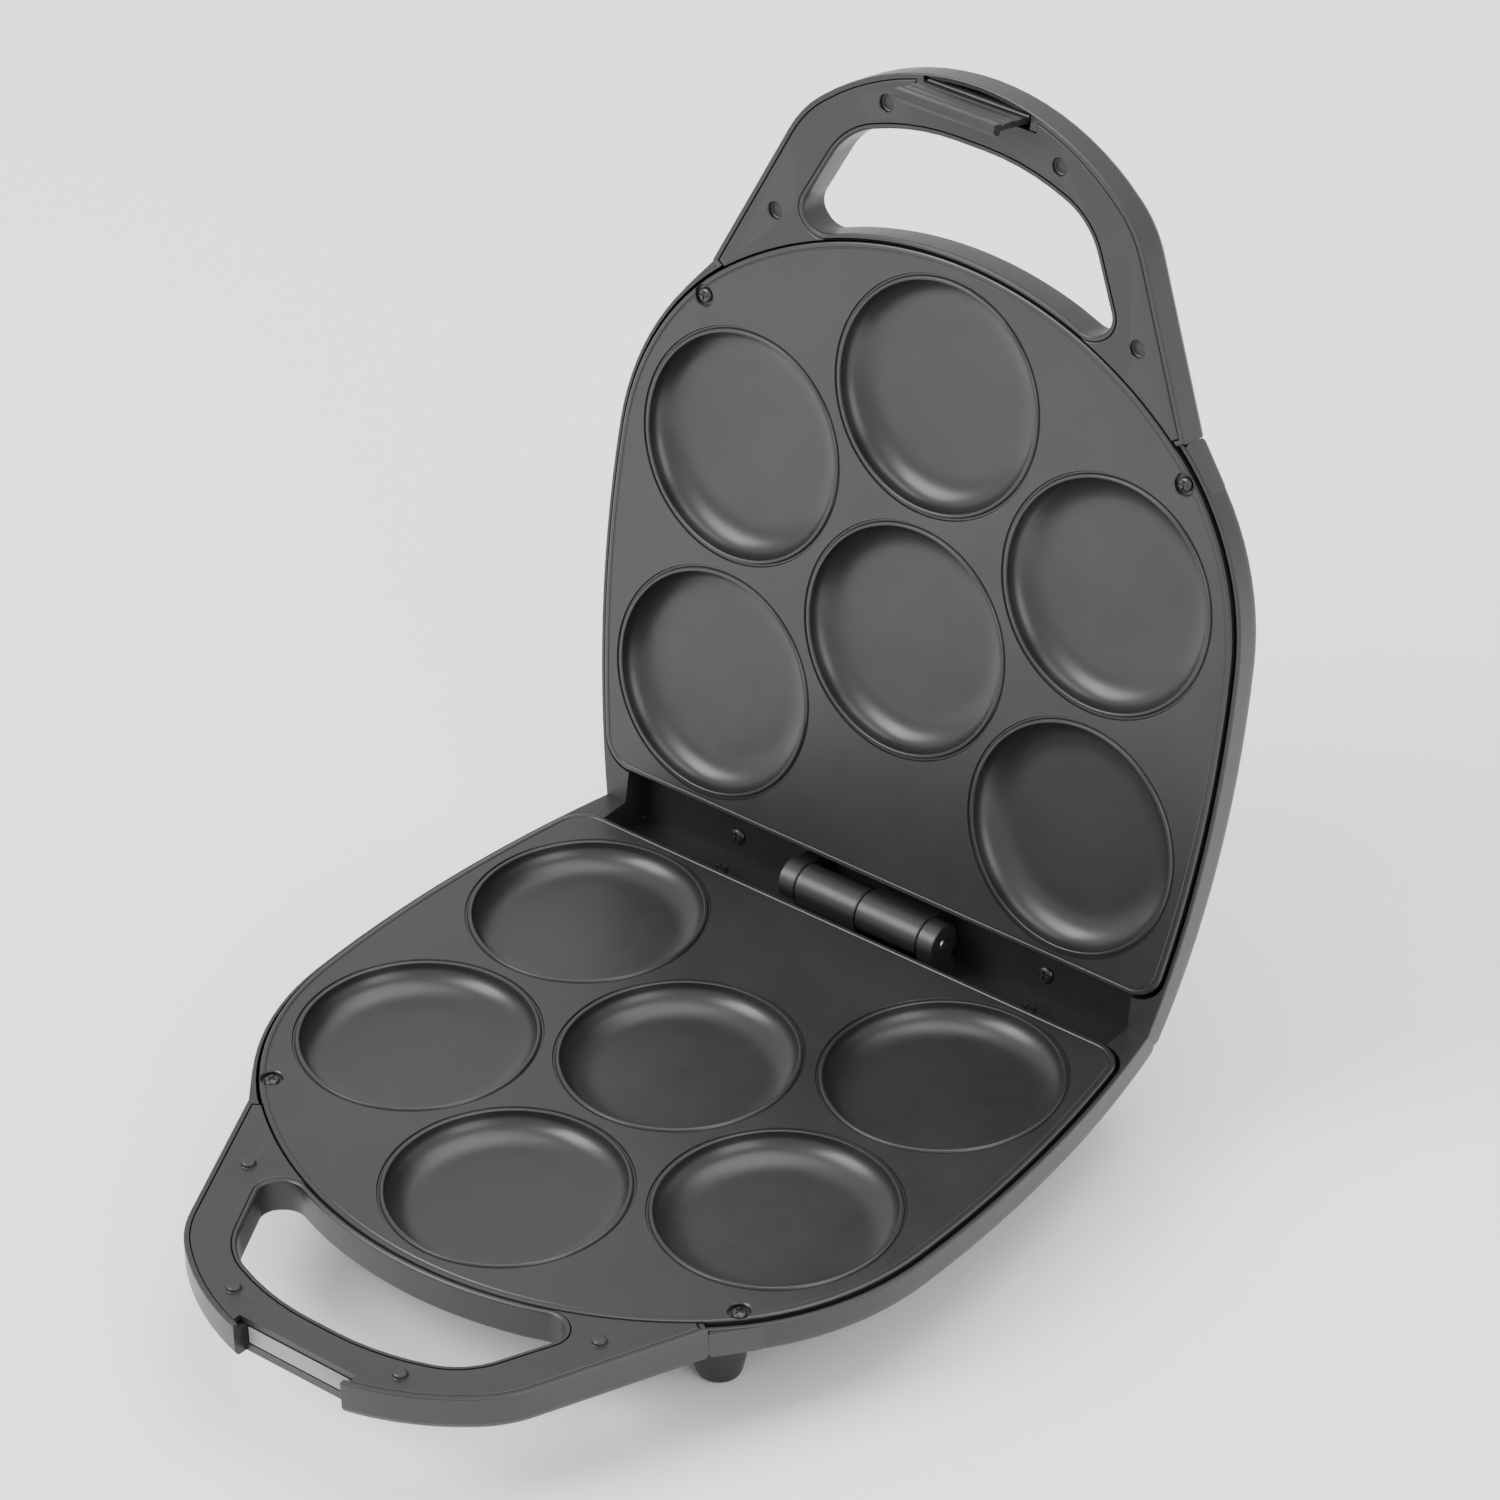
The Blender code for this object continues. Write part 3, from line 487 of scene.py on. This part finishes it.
def bump(made, surface, layers):
    """Bump from (height, strength, distance) layers, each laid over the last."""
    nodes, links = made.node_tree.nodes, made.node_tree.links
    below = None
    for height, strength, distance in layers:
        step = nodes.new("ShaderNodeBump")
        step.inputs["Strength"].default_value = strength
        step.inputs["Distance"].default_value = distance
        links.new(height, step.inputs["Height"])
        if below:
            links.new(below, step.inputs["Normal"])
        below = step.outputs["Normal"]
    links.new(below, surface.inputs["Normal"])


def moulded(name, colour, roughness, grain=0.12):
    """Satin moulded plastic: fine spark-eroded grain, faint mottling and a painted highlight that
    lightens the sharp edges.
    """
    made, surface = shader(name, roughness)
    links = made.node_tree.links
    mottle = noise(made, 38.0, 3.0)
    # Painted highlight: the base colour is lightened on sharp convex edges, standing in for the light
    # caught by the rounded edges.
    painted_edge_highlight = made.node_tree.nodes.new("ShaderNodeNewGeometry").outputs["Pointiness"]
    darker = tuple(0.9 * c for c in colour)
    lighter = tuple(1.1 * c for c in colour)
    edge = tuple(min(1.0, 1.7 * c) for c in colour)
    body = blend_colours(made, remap(made, mottle, 0.0, 1.0), darker, lighter)
    rim = remap(made, painted_edge_highlight, 0.0, 0.55, 0.53, 0.62)
    links.new(blend_colours(made, rim, body, edge), surface.inputs["Base Color"])
    streak = noise(made, 150.0, 4.0, 0.6)
    links.new(remap(made, streak, roughness - 0.02, roughness + 0.02), surface.inputs["Roughness"])
    surface.inputs["Specular IOR Level"].default_value = 0.5
    fine = noise(made, 2600.0, 2.0)
    coarse = noise(made, 900.0, 2.0)
    bump(made, surface, [(coarse, grain, 0.00006), (fine, grain, 0.00004)])
    return made


def nonstick(name, colour):
    """Sprayed non-stick coating on cast metal: orange peel, pale flecks and a soft sheen."""
    made, surface = shader(name, 0.34)
    links = made.node_tree.links
    cells = made.node_tree.nodes.new("ShaderNodeTexVoronoi")
    cells.inputs["Scale"].default_value = 1500.0
    place = made.node_tree.nodes.new("ShaderNodeTexCoord")
    links.new(place.outputs["Object"], cells.inputs["Vector"])
    fleck = remap(made, cells.outputs["Distance"], 0.5, 0.0, 0.03, 0.16)
    cloud = remap(made, noise(made, 22.0, 4.0), 0.0, 1.0)
    body = blend_colours(made, cloud, tuple(0.88 * c for c in colour), tuple(1.12 * c for c in colour))
    pale = tuple(2.0 * c for c in colour)
    links.new(blend_colours(made, fleck, body, pale), surface.inputs["Base Color"])
    sheen = noise(made, 60.0, 5.0, 0.6)
    links.new(remap(made, sheen, 0.3, 0.38), surface.inputs["Roughness"])
    surface.inputs["Coat Weight"].default_value = 0.12
    surface.inputs["Coat Roughness"].default_value = 0.3
    peel = noise(made, 520.0, 3.0)
    bump(made, surface, [(peel, 0.16, 0.0001), (fleck, 0.05, 0.00003)])
    return made


def brushed(name, colour, roughness, stretch):
    """Metal with fine scratches drawn out along one axis."""
    made, surface = shader(name, roughness, 1.0)
    nodes, links = made.node_tree.nodes, made.node_tree.links
    place = nodes.new("ShaderNodeTexCoord")
    squeeze = nodes.new("ShaderNodeMapping")
    squeeze.inputs["Scale"].default_value = stretch
    lines = nodes.new("ShaderNodeTexNoise")
    lines.inputs["Scale"].default_value = 900.0
    lines.inputs["Detail"].default_value = 3.0
    links.new(place.outputs["Object"], squeeze.inputs["Vector"])
    links.new(squeeze.outputs["Vector"], lines.inputs["Vector"])
    scratch = lines.outputs["Fac"]
    tint = remap(made, scratch, 0.0, 1.0)
    body = blend_colours(made, tint, tuple(0.85 * c for c in colour), colour)
    links.new(body, surface.inputs["Base Color"])
    links.new(remap(made, scratch, roughness - 0.07, roughness + 0.1), surface.inputs["Roughness"])
    bump(made, surface, [(scratch, 0.15, 0.00003)])
    return made


def tinted(name, colour, transmission):
    """A small clear moulding with faint flow marks."""
    made, surface = shader(name, 0.15)
    flow = noise(made, 400.0, 2.0)
    links = made.node_tree.links
    body = blend_colours(made, remap(made, flow, 0.0, 1.0), tuple(0.85 * c for c in colour), colour)
    links.new(body, surface.inputs["Base Color"])
    links.new(remap(made, flow, 0.1, 0.22), surface.inputs["Roughness"])
    surface.inputs["Transmission Weight"].default_value = transmission
    bump(made, surface, [(flow, 0.1, 0.00004)])
    return made


# The two halves.


def both_sides(places):
    return [(side * u, v) for u, v in places for side in SIDES]


def dish_centres():
    centres = [(0.0, DISH_FIRST_ROW + row * DISH_ROW_STEP) for row in (1, 3)]
    sides = [(DISH_COLUMN, DISH_FIRST_ROW + row * DISH_ROW_STEP) for row in (0, 2)]
    return centres + both_sides(sides)


def knuckle_spans(first):
    ends = list(zip(KNUCKLE_ENDS, KNUCKLE_ENDS[1:]))[first::2]
    return [(low + KNUCKLE_GAP / 2, high - KNUCKLE_GAP / 2) for low, high in ends]


def stop_wedge(place):
    """Everything behind the plane on which the two cases meet when the lid is fully open."""
    turn = math.radians((360.0 - JOINTS["lid_hinge"]["range_deg"][1]) / 2)
    du, dw = math.cos(turn), math.sin(turn)
    near = (STOP_GAP * dw, -STOP_GAP * du)
    far = (near[0] + 40.0 * du, near[1] + 40.0 * dw)
    top = (near[0] - 4.0 * du, near[1] - 4.0 * dw)
    outline = [top, far, (-60.0, far[1]), (-60.0, top[1])]
    return place.shape(across(outline, [(-150.0, 150.0)]))


def neck_fairing(sign):
    """The wedge that lets the handle's side run on into the side of the case."""
    corners = [(sign * u, v) for u, v in (NECK, (88.0, 184.0), NECK_TANGENT)]
    outline = corners[::sign]
    levels = [(outline, RIM_TOP + 0.4), (outline, 10.0), (offset(outline, -0.7), 11.9)]
    return loft(levels)


def case_body(place):
    """The outside of a case without its handle, from the rounded rim to the bottom of the belly."""
    side = [(RIM_GROWTH - EDGE, RIM_TOP), (RIM_GROWTH - EDGE / 3, RIM_TOP + EDGE / 3)]
    side += smooth_line(SHELL_SIDE + SHELL_BELLY, 5)
    levels = []
    for growth, w in side:
        rear = SHELL_REAR - REAR_TAPER * min(0.0, growth)
        growth = min(growth, RIM_GROWTH) - CHORD_TRIM
        levels.append((body_outline(growth, rear, SHELL_REAR_CORNER), w))
    return place.raw(f"{place.body}_case", loft(levels))


def add_handle(place, part):
    """Joins the handle, still solid, and the fairings at its neck."""
    handle = handle_outline()
    curve = [(-EDGE, FACE), (-EDGE / 3, FACE + EDGE / 3), (0.0, FACE + EDGE)]
    curve += smooth_line(((0.0, 10.0), (-0.7, 11.8), (-1.7, 12.6), (-3.1, HANDLE_BOTTOM)), 3)
    join(part, place.shape(loft([(offset(handle, g - CHORD_TRIM), w) for g, w in curve])))
    join(part, *[place.shape(neck_fairing(sign)) for sign in SIDES])


def hollow_out(place, part):
    """Cuts the finger opening, the heater's room, the rear deck and the hollow of the handle."""
    opening = opening_outline()
    hole = [(1.4, -2.0), (0.75, FACE - 0.05), (0.2, FACE + 0.35), (0.0, FACE + 1.0)]
    hole += [(0.0, 11.0), (0.35, 12.2), (1.5, HANDLE_BOTTOM + 0.05), (1.5, 20.0)]
    inner = offset(handle_outline(), -HANDLE_WALL)
    wall = place.shape(prism(offset(opening, OPENING_WALL), -3.0, 40.0))
    seat = place.shape(prism(inner, -2.0, COVER_SEAT))
    channel = place.shape(prism(inner, COVER_SEAT - 0.1, HANDLE_FLOOR))
    inside = place.shape(prism(body_outline(RIM_GROWTH, PLATE_REAR, REAR_CORNER), -4.0, 41.0))
    cut(seat, wall)
    cut(channel, wall, inside)
    hollow = [(body_outline(g, HOLLOW_REAR, REAR_CORNER), w) for g, w in HOLLOW + HOLLOW_FLOOR]
    deck = box((-DECK_HALF_WIDTH, DECK_HALF_WIDTH), (-30.0, DECK_FRONT), (-2.0, DECK_DEPTH))
    cut(
        part,
        place.shape(loft([(offset(opening, g), w) for g, w in hole])),
        place.shape(loft(hollow)),
        place.shape(deck),
        seat,
        channel,
        stop_wedge(place),
    )


def add_knuckles(place, part, first_knuckle):
    reach = KNUCKLE_ENDS[-1] + HINGE_CLEARANCE
    swept = circle((0.0, 0.0), KNUCKLE_RADIUS + HINGE_CLEARANCE, 72)
    knuckle = arc((0.0, 0.0), KNUCKLE_RADIUS, 126, 374, 62)
    knuckle += [(knuckle[-1][0], DECK_DEPTH + 0.5), (-7.6, DECK_DEPTH + 0.5)]
    bore = circle((0.0, 0.0), HINGE_BORE_RADIUS, 40)
    cut(part, place.shape(across(swept, [(-reach, reach)])))
    join(part, place.shape(across(knuckle, knuckle_spans(first_knuckle), 0.35)))
    cut(part, place.shape(across(bore, [(-reach, reach)])))


def screw_holes(place, spots, top, bottom):
    return place.shape(turned([(SCREW_HOLE_RADIUS, top), (SCREW_HOLE_RADIUS, bottom)], spots, 24))


def add_screw_places(place, part):
    """Joins the posts of the plate screws and cuts the holes of all four screws."""
    posts = both_sides([STUD_PLACE])
    join(part, place.shape(turned([(POST_RADIUS, w) for w in POST_DEPTHS], posts, 32)))
    cut(part, screw_holes(place, posts, -1.0, 10.2))
    cut(part, screw_holes(place, both_sides([REAR_SCREW_PLACE]), 10.0, 17.0))


def case(place, first_knuckle):
    """The moulded case of one half, with its handle, hinge knuckles and screw posts."""
    part = case_body(place)
    add_handle(place, part)
    hollow_out(place, part)
    add_knuckles(place, part, first_knuckle)
    add_screw_places(place, part)
    return part


def cover(place, notch_v):
    """The horseshoe cover of a handle, its top edges rounded over."""
    outline = offset(handle_outline(), -HANDLE_WALL - COVER_GAP)
    top, bottom = FACE, FACE + COVER_THICKNESS
    rounding = [(-EDGE, top), (-EDGE / 3, top + EDGE / 3), (0.0, top + EDGE), (0.0, bottom)]
    part = place.raw(f"{place.body}_cover", loft([(offset(outline, g), w) for g, w in rounding]))
    opening = offset(opening_outline(), OPENING_WALL + COVER_GAP)
    flare = [(0.6, -2.0), (0.6, top - 0.05), (EDGE / 3, top + EDGE / 3)]
    flare += [(0.0, top + EDGE), (0.0, 6.0)]
    notch_u = CHEEK_END + COVER_GAP
    plate_side = [(body_outline(SEAM_GROWTH + g, PLATE_REAR, REAR_CORNER), w) for g, w in flare]
    cut(
        part,
        place.shape(loft([(offset(opening, g), w) for g, w in flare])),
        place.shape(loft(plate_side)),
        place.shape(box((-notch_u, notch_u), (notch_v, 300.0), (-3.0, 6.0))),
    )
    return part


def dish_profile():
    """Section (radius, w) of a dish with the ridge and groove round it, from the rim inwards."""
    rim, lip, foot = DISH_RADIUS, DISH_RADIUS - DISH_LIP_INSET, DISH_RADIUS - DISH_WALL_REACH
    crest, floor = FACE - RIDGE_HEIGHT, FACE + DISH_DEPTH
    dish = [(rim + 0.5, -1.0), (rim + 0.5, FACE), (rim + 0.2, FACE + 0.6), (rim - 0.3, FACE + 0.6)]
    dish += [(rim - 0.6, FACE), (rim - 0.8, crest + 0.1), (rim - 1.1, crest), (lip + 0.3, crest)]
    dish += [(lip + 0.1, crest + 0.1), (lip, FACE)]
    for step in range(1, 13):
        bend = math.radians(7.5 * step)
        radius = foot + (lip - foot) * math.cos(bend) ** 0.8
        dish.append((radius, FACE + 0.5 + (DISH_DEPTH - 0.8) * math.sin(bend)))
    return dish[:-1] + [(foot, floor - 0.3), (16.0, floor - 0.08), (5.0, floor)]


def plate(place):
    """The cooking plate: a beaded edge, and six soft dishes, each inside a ridge and a groove."""
    edge = [(-2.9, FACE), (-2.4, FACE), (-2.15, FACE + 0.22), (-1.85, FACE + 0.22), (-1.6, FACE)]
    edge += [(-0.6, FACE), (-0.2, FACE + 0.18), (0.0, FACE + 0.6), (0.0, PLATE_SKIRT)]
    part = place.raw(f"{place.body}_plate", loft([(body_outline(g), w) for g, w in edge]))
    under = FACE + PLATE_THICKNESS
    inner = body_outline(-2.0, PLATE_REAR + 2.0, 10.0)
    cut(part, place.shape(prism(inner, under, PLATE_SKIRT + 1)))

    bulge = [(40.6, FACE + 1.0), (39.6, FACE + 5.6), (37.0, FACE + 8.6), (33.1, FACE + 10.0)]
    join(part, place.shape(turned(bulge, dish_centres(), 40)))
    disc = [(DISH_RADIUS - 0.1, FACE + 1.5), (DISH_RADIUS - 0.1, FACE - RIDGE_HEIGHT - 0.2)]
    join(part, place.shape(turned(disc, dish_centres(), DISH_SEGMENTS)))
    cut(part, place.shape(turned(dish_profile(), dish_centres(), DISH_SEGMENTS)))
    studs = both_sides([STUD_PLACE])
    seat = [(STUD_SEAT_RADIUS + 0.4, -1.0), (STUD_SEAT_RADIUS + 0.4, FACE)]
    seat += [(STUD_SEAT_RADIUS, FACE + 0.4), (STUD_SEAT_RADIUS, FACE + 1.5)]
    cut(part, place.shape(turned(seat, studs, 40)))
    cut(part, screw_holes(place, studs, -0.5, 7.0))
    return part


def screw(place, name, spot, head, depth, end):
    """A domed screw with a cross recess: head radius, depth of its underside and shank end."""
    u, v = spot
    crown = [(0.3, depth - 1.2), (0.6 * head, depth - 1.08), (0.86 * head, depth - 0.75)]
    crown += [(head, depth - 0.3), (head, depth - 0.05), (head - 0.1, depth)]
    shank = [(1.3, depth + 0.02), (1.3, end - 0.4), (0.9, end)]
    part = place.raw(name, turned(crown + shank, [spot], 40))
    for wide, long in ((0.3, 0.62 * head), (0.62 * head, 0.3)):
        bar = box((u - wide, u + wide), (v - long, v + long), (depth - 2.0, depth - 0.65))
        cut(part, place.shape(bar))
    return part


def plate_and_screws(place, finishes):
    """The pieces that both halves have alike."""
    body = place.body
    done(place, plate(place), finishes["coating"], "nonstick_coating", f"{body}_cooking_plate")
    for side, sign in NAMED_SIDES:
        spot = (sign * STUD_PLACE[0], STUD_PLACE[1])
        node = f"{body}_plate_screw_{side}"
        part = screw(place, f"{body}_stud_{side}", spot, 2.5, FACE + 1.2, 9.6)
        done(place, part, finishes["screw"], "black_screw", node)
        spot = (sign * REAR_SCREW_PLACE[0], REAR_SCREW_PLACE[1])
        node = f"{body}_rear_screw_{side}"
        part = screw(place, f"{body}_frame_screw_{side}", spot, 2.9, DECK_DEPTH - 0.3, 19.0)
        done(place, part, finishes["screw"], "black_screw", node)


# The base.


def base_case(base, finish):
    part = case(base, 1)
    post = [(11.0, FOOT_ROOT), (9.9, 28.0), (8.6, 34.0), (7.4, 39.2), (7.0, 40.2), (6.3, FOOT_END)]
    well = [(PAD_RADIUS + FIT_GAP, FOOT_END - 1.8), (PAD_RADIUS + FIT_GAP, 45.0)]
    join(part, base.shape(turned(post, both_sides(FOOT_PLACES))))
    cut(part, base.shape(turned(well, both_sides(FOOT_PLACES))))
    back = RECESS_FACE - KEEPER_THICKNESS - 2.0
    join(part, base.shape(box((-CHEEK_END, CHEEK_END), (back, 283.0), (COVER_SEAT, 11.5))))
    recess = box((-RECESS_HALF_WIDTH, RECESS_HALF_WIDTH), (RECESS_FACE, 300.0), (-2.0, 20.0))
    pocket_u = (-KEEPER_HALF_WIDTH - FIT_GAP, KEEPER_HALF_WIDTH + FIT_GAP)
    pocket_v = (RECESS_FACE - KEEPER_THICKNESS - FIT_GAP, 290.0)
    pocket = box(pocket_u, pocket_v, (KEEPER_DEPTHS[0] - FIT_GAP, KEEPER_DEPTHS[1] + FIT_GAP))
    bore = along_v([(circle(GLAND_PLACE, GLAND_HOLE_RADIUS, 40), v) for v in (-30.0, 4.0)])
    seat = circle(GLAND_PLACE, GLAND_SEAT_RADIUS, 40)
    seat = along_v([(seat, v) for v in (-30.0, GLAND_SEAT_V)])
    cut(part, *[base.shape(mesh) for mesh in (recess, pocket, bore, seat)])
    done(base, part, finish, "charcoal_plastic", "base_shell")


def base_cover(base, finish):
    part = cover(base, RECESS_FACE - COVER_GAP)
    peg = [(1.1, -1.0), (1.8, -0.92), (2.25, -0.6), (2.4, -0.2), (2.4, 0.3), (2.7, 0.6), (2.7, 1.2)]
    join(part, base.shape(turned(peg, both_sides(PEG_PLACES), 36)))
    done(base, part, finish, "charcoal_plastic", "base_handle_cover")


def keeper(base, finish):
    keeper_u = (-KEEPER_HALF_WIDTH, KEEPER_HALF_WIDTH)
    keeper_v = (RECESS_FACE - KEEPER_THICKNESS, RECESS_FACE)
    part = base.raw("keeper", box(keeper_u, keeper_v, KEEPER_DEPTHS))
    soften(part, 0.4)
    done(base, part, finish, "keeper_grey", "latch_keeper")


def foot_pads(base, finish):
    sole = HINGE_HEIGHT - 0.01
    pad = [(5.4, 39.1), (5.4, 41.1), (5.2, 41.7), (4.8, sole), (3.6, sole), (3.4, sole - 0.5)]
    pad += [(0.4, sole - 0.5)]
    for end, (u, v) in zip(("front", "rear"), FOOT_PLACES):
        for side, sign in NAMED_SIDES:
            part = base.raw(f"pad_{end}_{side}", turned(pad, [(sign * u, v)]))
            done(base, part, finish, "black_rubber", f"foot_pad_{end}_{side}")


def gland(base, finish):
    inner = GLAND_SEAT_V - FIT_GAP
    bush = [(3.6, inner - 2.8), (4.0, inner - 2.5), (4.0, inner - 2.3), (5.0, inner - 2.3)]
    bush += [(5.4, inner - 1.9), (5.4, inner), (4.0, inner), (4.0, 2.4), (3.6, 3.0)]
    part = base.raw("gland", along_v([(circle(GLAND_PLACE, r, 48), v) for r, v in bush]))
    bore = [(3.2, -14.0), (3.2, inner - 2.7), (2.8, inner - 2.2), (2.8, 8.0)]
    cut(part, base.shape(along_v([(circle(GLAND_PLACE, r, 48), v) for r, v in bore])))
    done(base, part, finish, "black_rubber", "cord_gland")


def hinge_rod(base, finish):
    pin = circle((0.0, 0.0), HINGE_PIN_RADIUS, 40)
    part = base.raw("hinge_rod", across(pin, [(KNUCKLE_ENDS[0], KNUCKLE_ENDS[-1])], 0.4))
    done(base, part, finish, "steel", "hinge_pin")


def base_pieces(base, finishes):
    base_case(base, finishes["plastic"])
    plate_and_screws(base, finishes)
    base_cover(base, finishes["cover"])
    keeper(base, finishes["keeper_grey"])
    foot_pads(base, finishes["rubber"])
    gland(base, finishes["rubber"])
    hinge_rod(base, finishes["steel"])


# The lid and its latch.


def lid_case(lid, finish):
    part = case(lid, 0)
    for side in SIDES:
        span = sorted((side * SLOT_HALF_WIDTH, side * CHEEK_END))
        join(part, lid.shape(box(span, (CHEEK_V, 283.2), (0.8, 11.4))))
    slot = box((-SLOT_HALF_WIDTH, SLOT_HALF_WIDTH), SLOT_V, (-2.0, SLOT_DEPTH))
    bore = across(circle(LATCH_PIVOT, LATCH_BORE_RADIUS, 32), [(-24.0, 24.0)])
    hole = LAMP_RADIUS + LAMP_CLEARANCE
    lamp_holes = turned([(hole, 25.0), (hole, 35.0)], LAMP_PLACES.values())
    cut(part, *[lid.shape(mesh) for mesh in (slot, bore, lamp_holes)])
    done(lid, part, finish, "charcoal_plastic", "lid_shell")


def lid_cover(lid, finish):
    part = cover(lid, SLOT_V[0] - 0.2)
    socket = [(3.1, -1.0), (3.1, FACE), (2.8, FACE + 0.35), (2.8, FACE + 1.6), (2.4, FACE + 1.8)]
    cut(part, lid.shape(turned(socket, both_sides(PEG_PLACES), 36)))
    done(lid, part, finish, "charcoal_plastic", "lid_handle_cover")


def lamp_lenses(lid, finishes):
    top = SHELL_BELLY[-1][1]
    lens = [(3.0, top - 1.8), (3.2, top - 1.6), (3.2, top + 0.1), (3.0, top + 0.4)]
    lens += [(2.4, top + 0.66), (1.4, top + 0.78), (0.3, top + 0.8)]
    for name, spot in LAMP_PLACES.items():
        part = lid.raw(f"{name}_lens", turned(lens, [spot]))
        slot_name = {"power": "red_lens", "ready": "green_lens"}[name]
        done(lid, part, finishes[slot_name], slot_name, f"{name}_lamp_lens")


def lid_pieces(lid, finishes):
    lid_case(lid, finishes["plastic"])
    plate_and_screws(lid, finishes)
    lid_cover(lid, finishes["cover"])
    lamp_lenses(lid, finishes)


def clip_outline():
    """Section of the latch clip in (v, w): two raised ribs, a groove, a grip lip and the hook."""
    face, raised, inner, end = 0.85, 1.2, -1.2, -LATCH_LENGTH
    outline = [(inner, 0.0), (face, 0.0)]
    for start in (-4.8, -9.8):
        outline += [(face, start), (raised, start - 0.4), (raised, start - 1.4), (face, start - 1.8)]
    outline += [(face, -14.6), (0.4, -15.1), (0.4, -16.3), (raised, -17.0), (raised, end + 0.6)]
    outline += [(0.8, end), (-1.3, end), (-2.5, end + 1.2), (-2.7, end + 1.6), (-2.7, -17.0)]
    return outline + [(-2.4, -16.6), (inner, -16.6)]


def clip_piece(latch, finishes):
    span = [(-LATCH_HALF_WIDTH, LATCH_HALF_WIDTH)]
    part = latch.raw("clip", across(clip_outline(), span))
    barrel = circle((0.0, 0.0), LATCH_BARREL_RADIUS, 48)
    bore = circle((0.0, 0.0), LATCH_BORE_RADIUS, 32)
    join(part, latch.shape(across(barrel, span)))
    cut(part, latch.shape(across(bore, [(-30.0, 30.0)])))
    soften(part, 0.15)
    done(latch, part, finishes["plastic"], "charcoal_plastic", "latch_clip")


# The stage.


def floor():
    mesh = bmesh.new()
    bmesh.ops.create_grid(mesh, x_segments=8, y_segments=8, size=FLOOR_REACH)
    data = bpy.data.meshes.new("floor")
    mesh.to_mesh(data)
    mesh.free()
    ground = bpy.data.objects.new("floor", data)
    bpy.context.scene.collection.objects.link(ground)
    made, surface = shader("pale_floor", 0.7)
    surface.inputs["Base Color"].default_value = (0.93, 0.93, 0.93, 1.0)
    data.materials.append(made)


def soft_light(name, place, size, power):
    data = bpy.data.lights.new(name, "AREA")
    data.shape = "RECTANGLE"
    data.size, data.size_y = size
    data.energy = power
    light = bpy.data.objects.new(name, data)
    light.location = place
    light.rotation_euler = (Vector(LIGHT_AIM) - Vector(place)).to_track_quat("-Z", "Y").to_euler()
    bpy.context.scene.collection.objects.link(light)


def studio():
    world = bpy.data.worlds.new("studio")
    world.use_nodes = True
    sky = world.node_tree.nodes["Background"]
    sky.inputs["Color"].default_value = (1.0, 1.0, 1.0, 1.0)
    sky.inputs["Strength"].default_value = SKY_STRENGTH
    bpy.context.scene.world = world
    for light in LIGHTS:
        soft_light(*light)


def camera():
    data = bpy.data.cameras.new("camera")
    data.lens = CAMERA_LENS
    data.sensor_width = 36.0
    data.clip_end = 20.0
    view = bpy.data.objects.new("camera", data)
    view.location = CAMERA_PLACE
    view.rotation_euler = [math.radians(a) for a in CAMERA_TURN]
    bpy.context.scene.collection.objects.link(view)
    bpy.context.scene.camera = view


def all_finishes():
    return {
        "plastic": moulded("charcoal_plastic", CHARCOAL, 0.38),
        "cover": moulded("charcoal_plastic_cover", CHARCOAL, 0.42),
        "coating": nonstick("nonstick_coating", (0.0105, 0.0107, 0.0112)),
        "steel": brushed("steel", (0.3, 0.3, 0.31), 0.34, (0.05, 1.0, 1.0)),
        "sheet": brushed("aluminium_sheet", (0.72, 0.72, 0.73), 0.33, (1.0, 0.05, 1.0)),
        "screw": moulded("black_screw", (0.012, 0.012, 0.013), 0.3, 0.06),
        "rubber": moulded("black_rubber", (0.012, 0.012, 0.012), 0.7, 0.3),
        "keeper_grey": moulded("keeper_grey", (0.14, 0.142, 0.145), 0.4),
        "red_lens": tinted("red_lens", (0.6, 0.03, 0.02), 0.5),
        "green_lens": tinted("green_lens", (0.03, 0.45, 0.08), 0.5),
        "bulb": tinted("bulb_glass", (0.95, 0.88, 0.8), 0.8),
    }


def dress_packed_parts(finishes):
    """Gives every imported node, seen or sealed inside, its finish."""
    kinds = {
        "plastic": "charcoal_plastic",
        "coating": "nonstick_coating",
        "steel": "steel",
        "sheet": "aluminium_sheet",
        "screw": "black_screw",
        "rubber": "black_rubber",
        "keeper_grey": "keeper_grey",
        "red_lens": "red_lens",
        "green_lens": "green_lens",
        "bulb": "bulb_glass",
    }
    by_slot = {slot: finishes[kind] for kind, slot in kinds.items()}
    for entry in frame["record"]["subparts"]:
        node = frame["nodes"][entry["node"]]
        for socket in node.material_slots:
            socket.material = by_slot[entry["material_slot"]]


def main():
    finishes = all_finishes()
    open_angle = JOINTS["lid_hinge"]["range_deg"][1]
    base = Place("base", "lid_hinge", 0.0, -1.0)
    lid = Place("lid", "lid_hinge", -open_angle, 1.0)
    latch = Place("latch", "latch_pivot", -open_angle - LATCH_LEAN, 1.0)
    dress_packed_parts(finishes)
    base_pieces(base, finishes)
    lid_pieces(lid, finishes)
    clip_piece(latch, finishes)
    floor()
    studio()
    camera()


main()
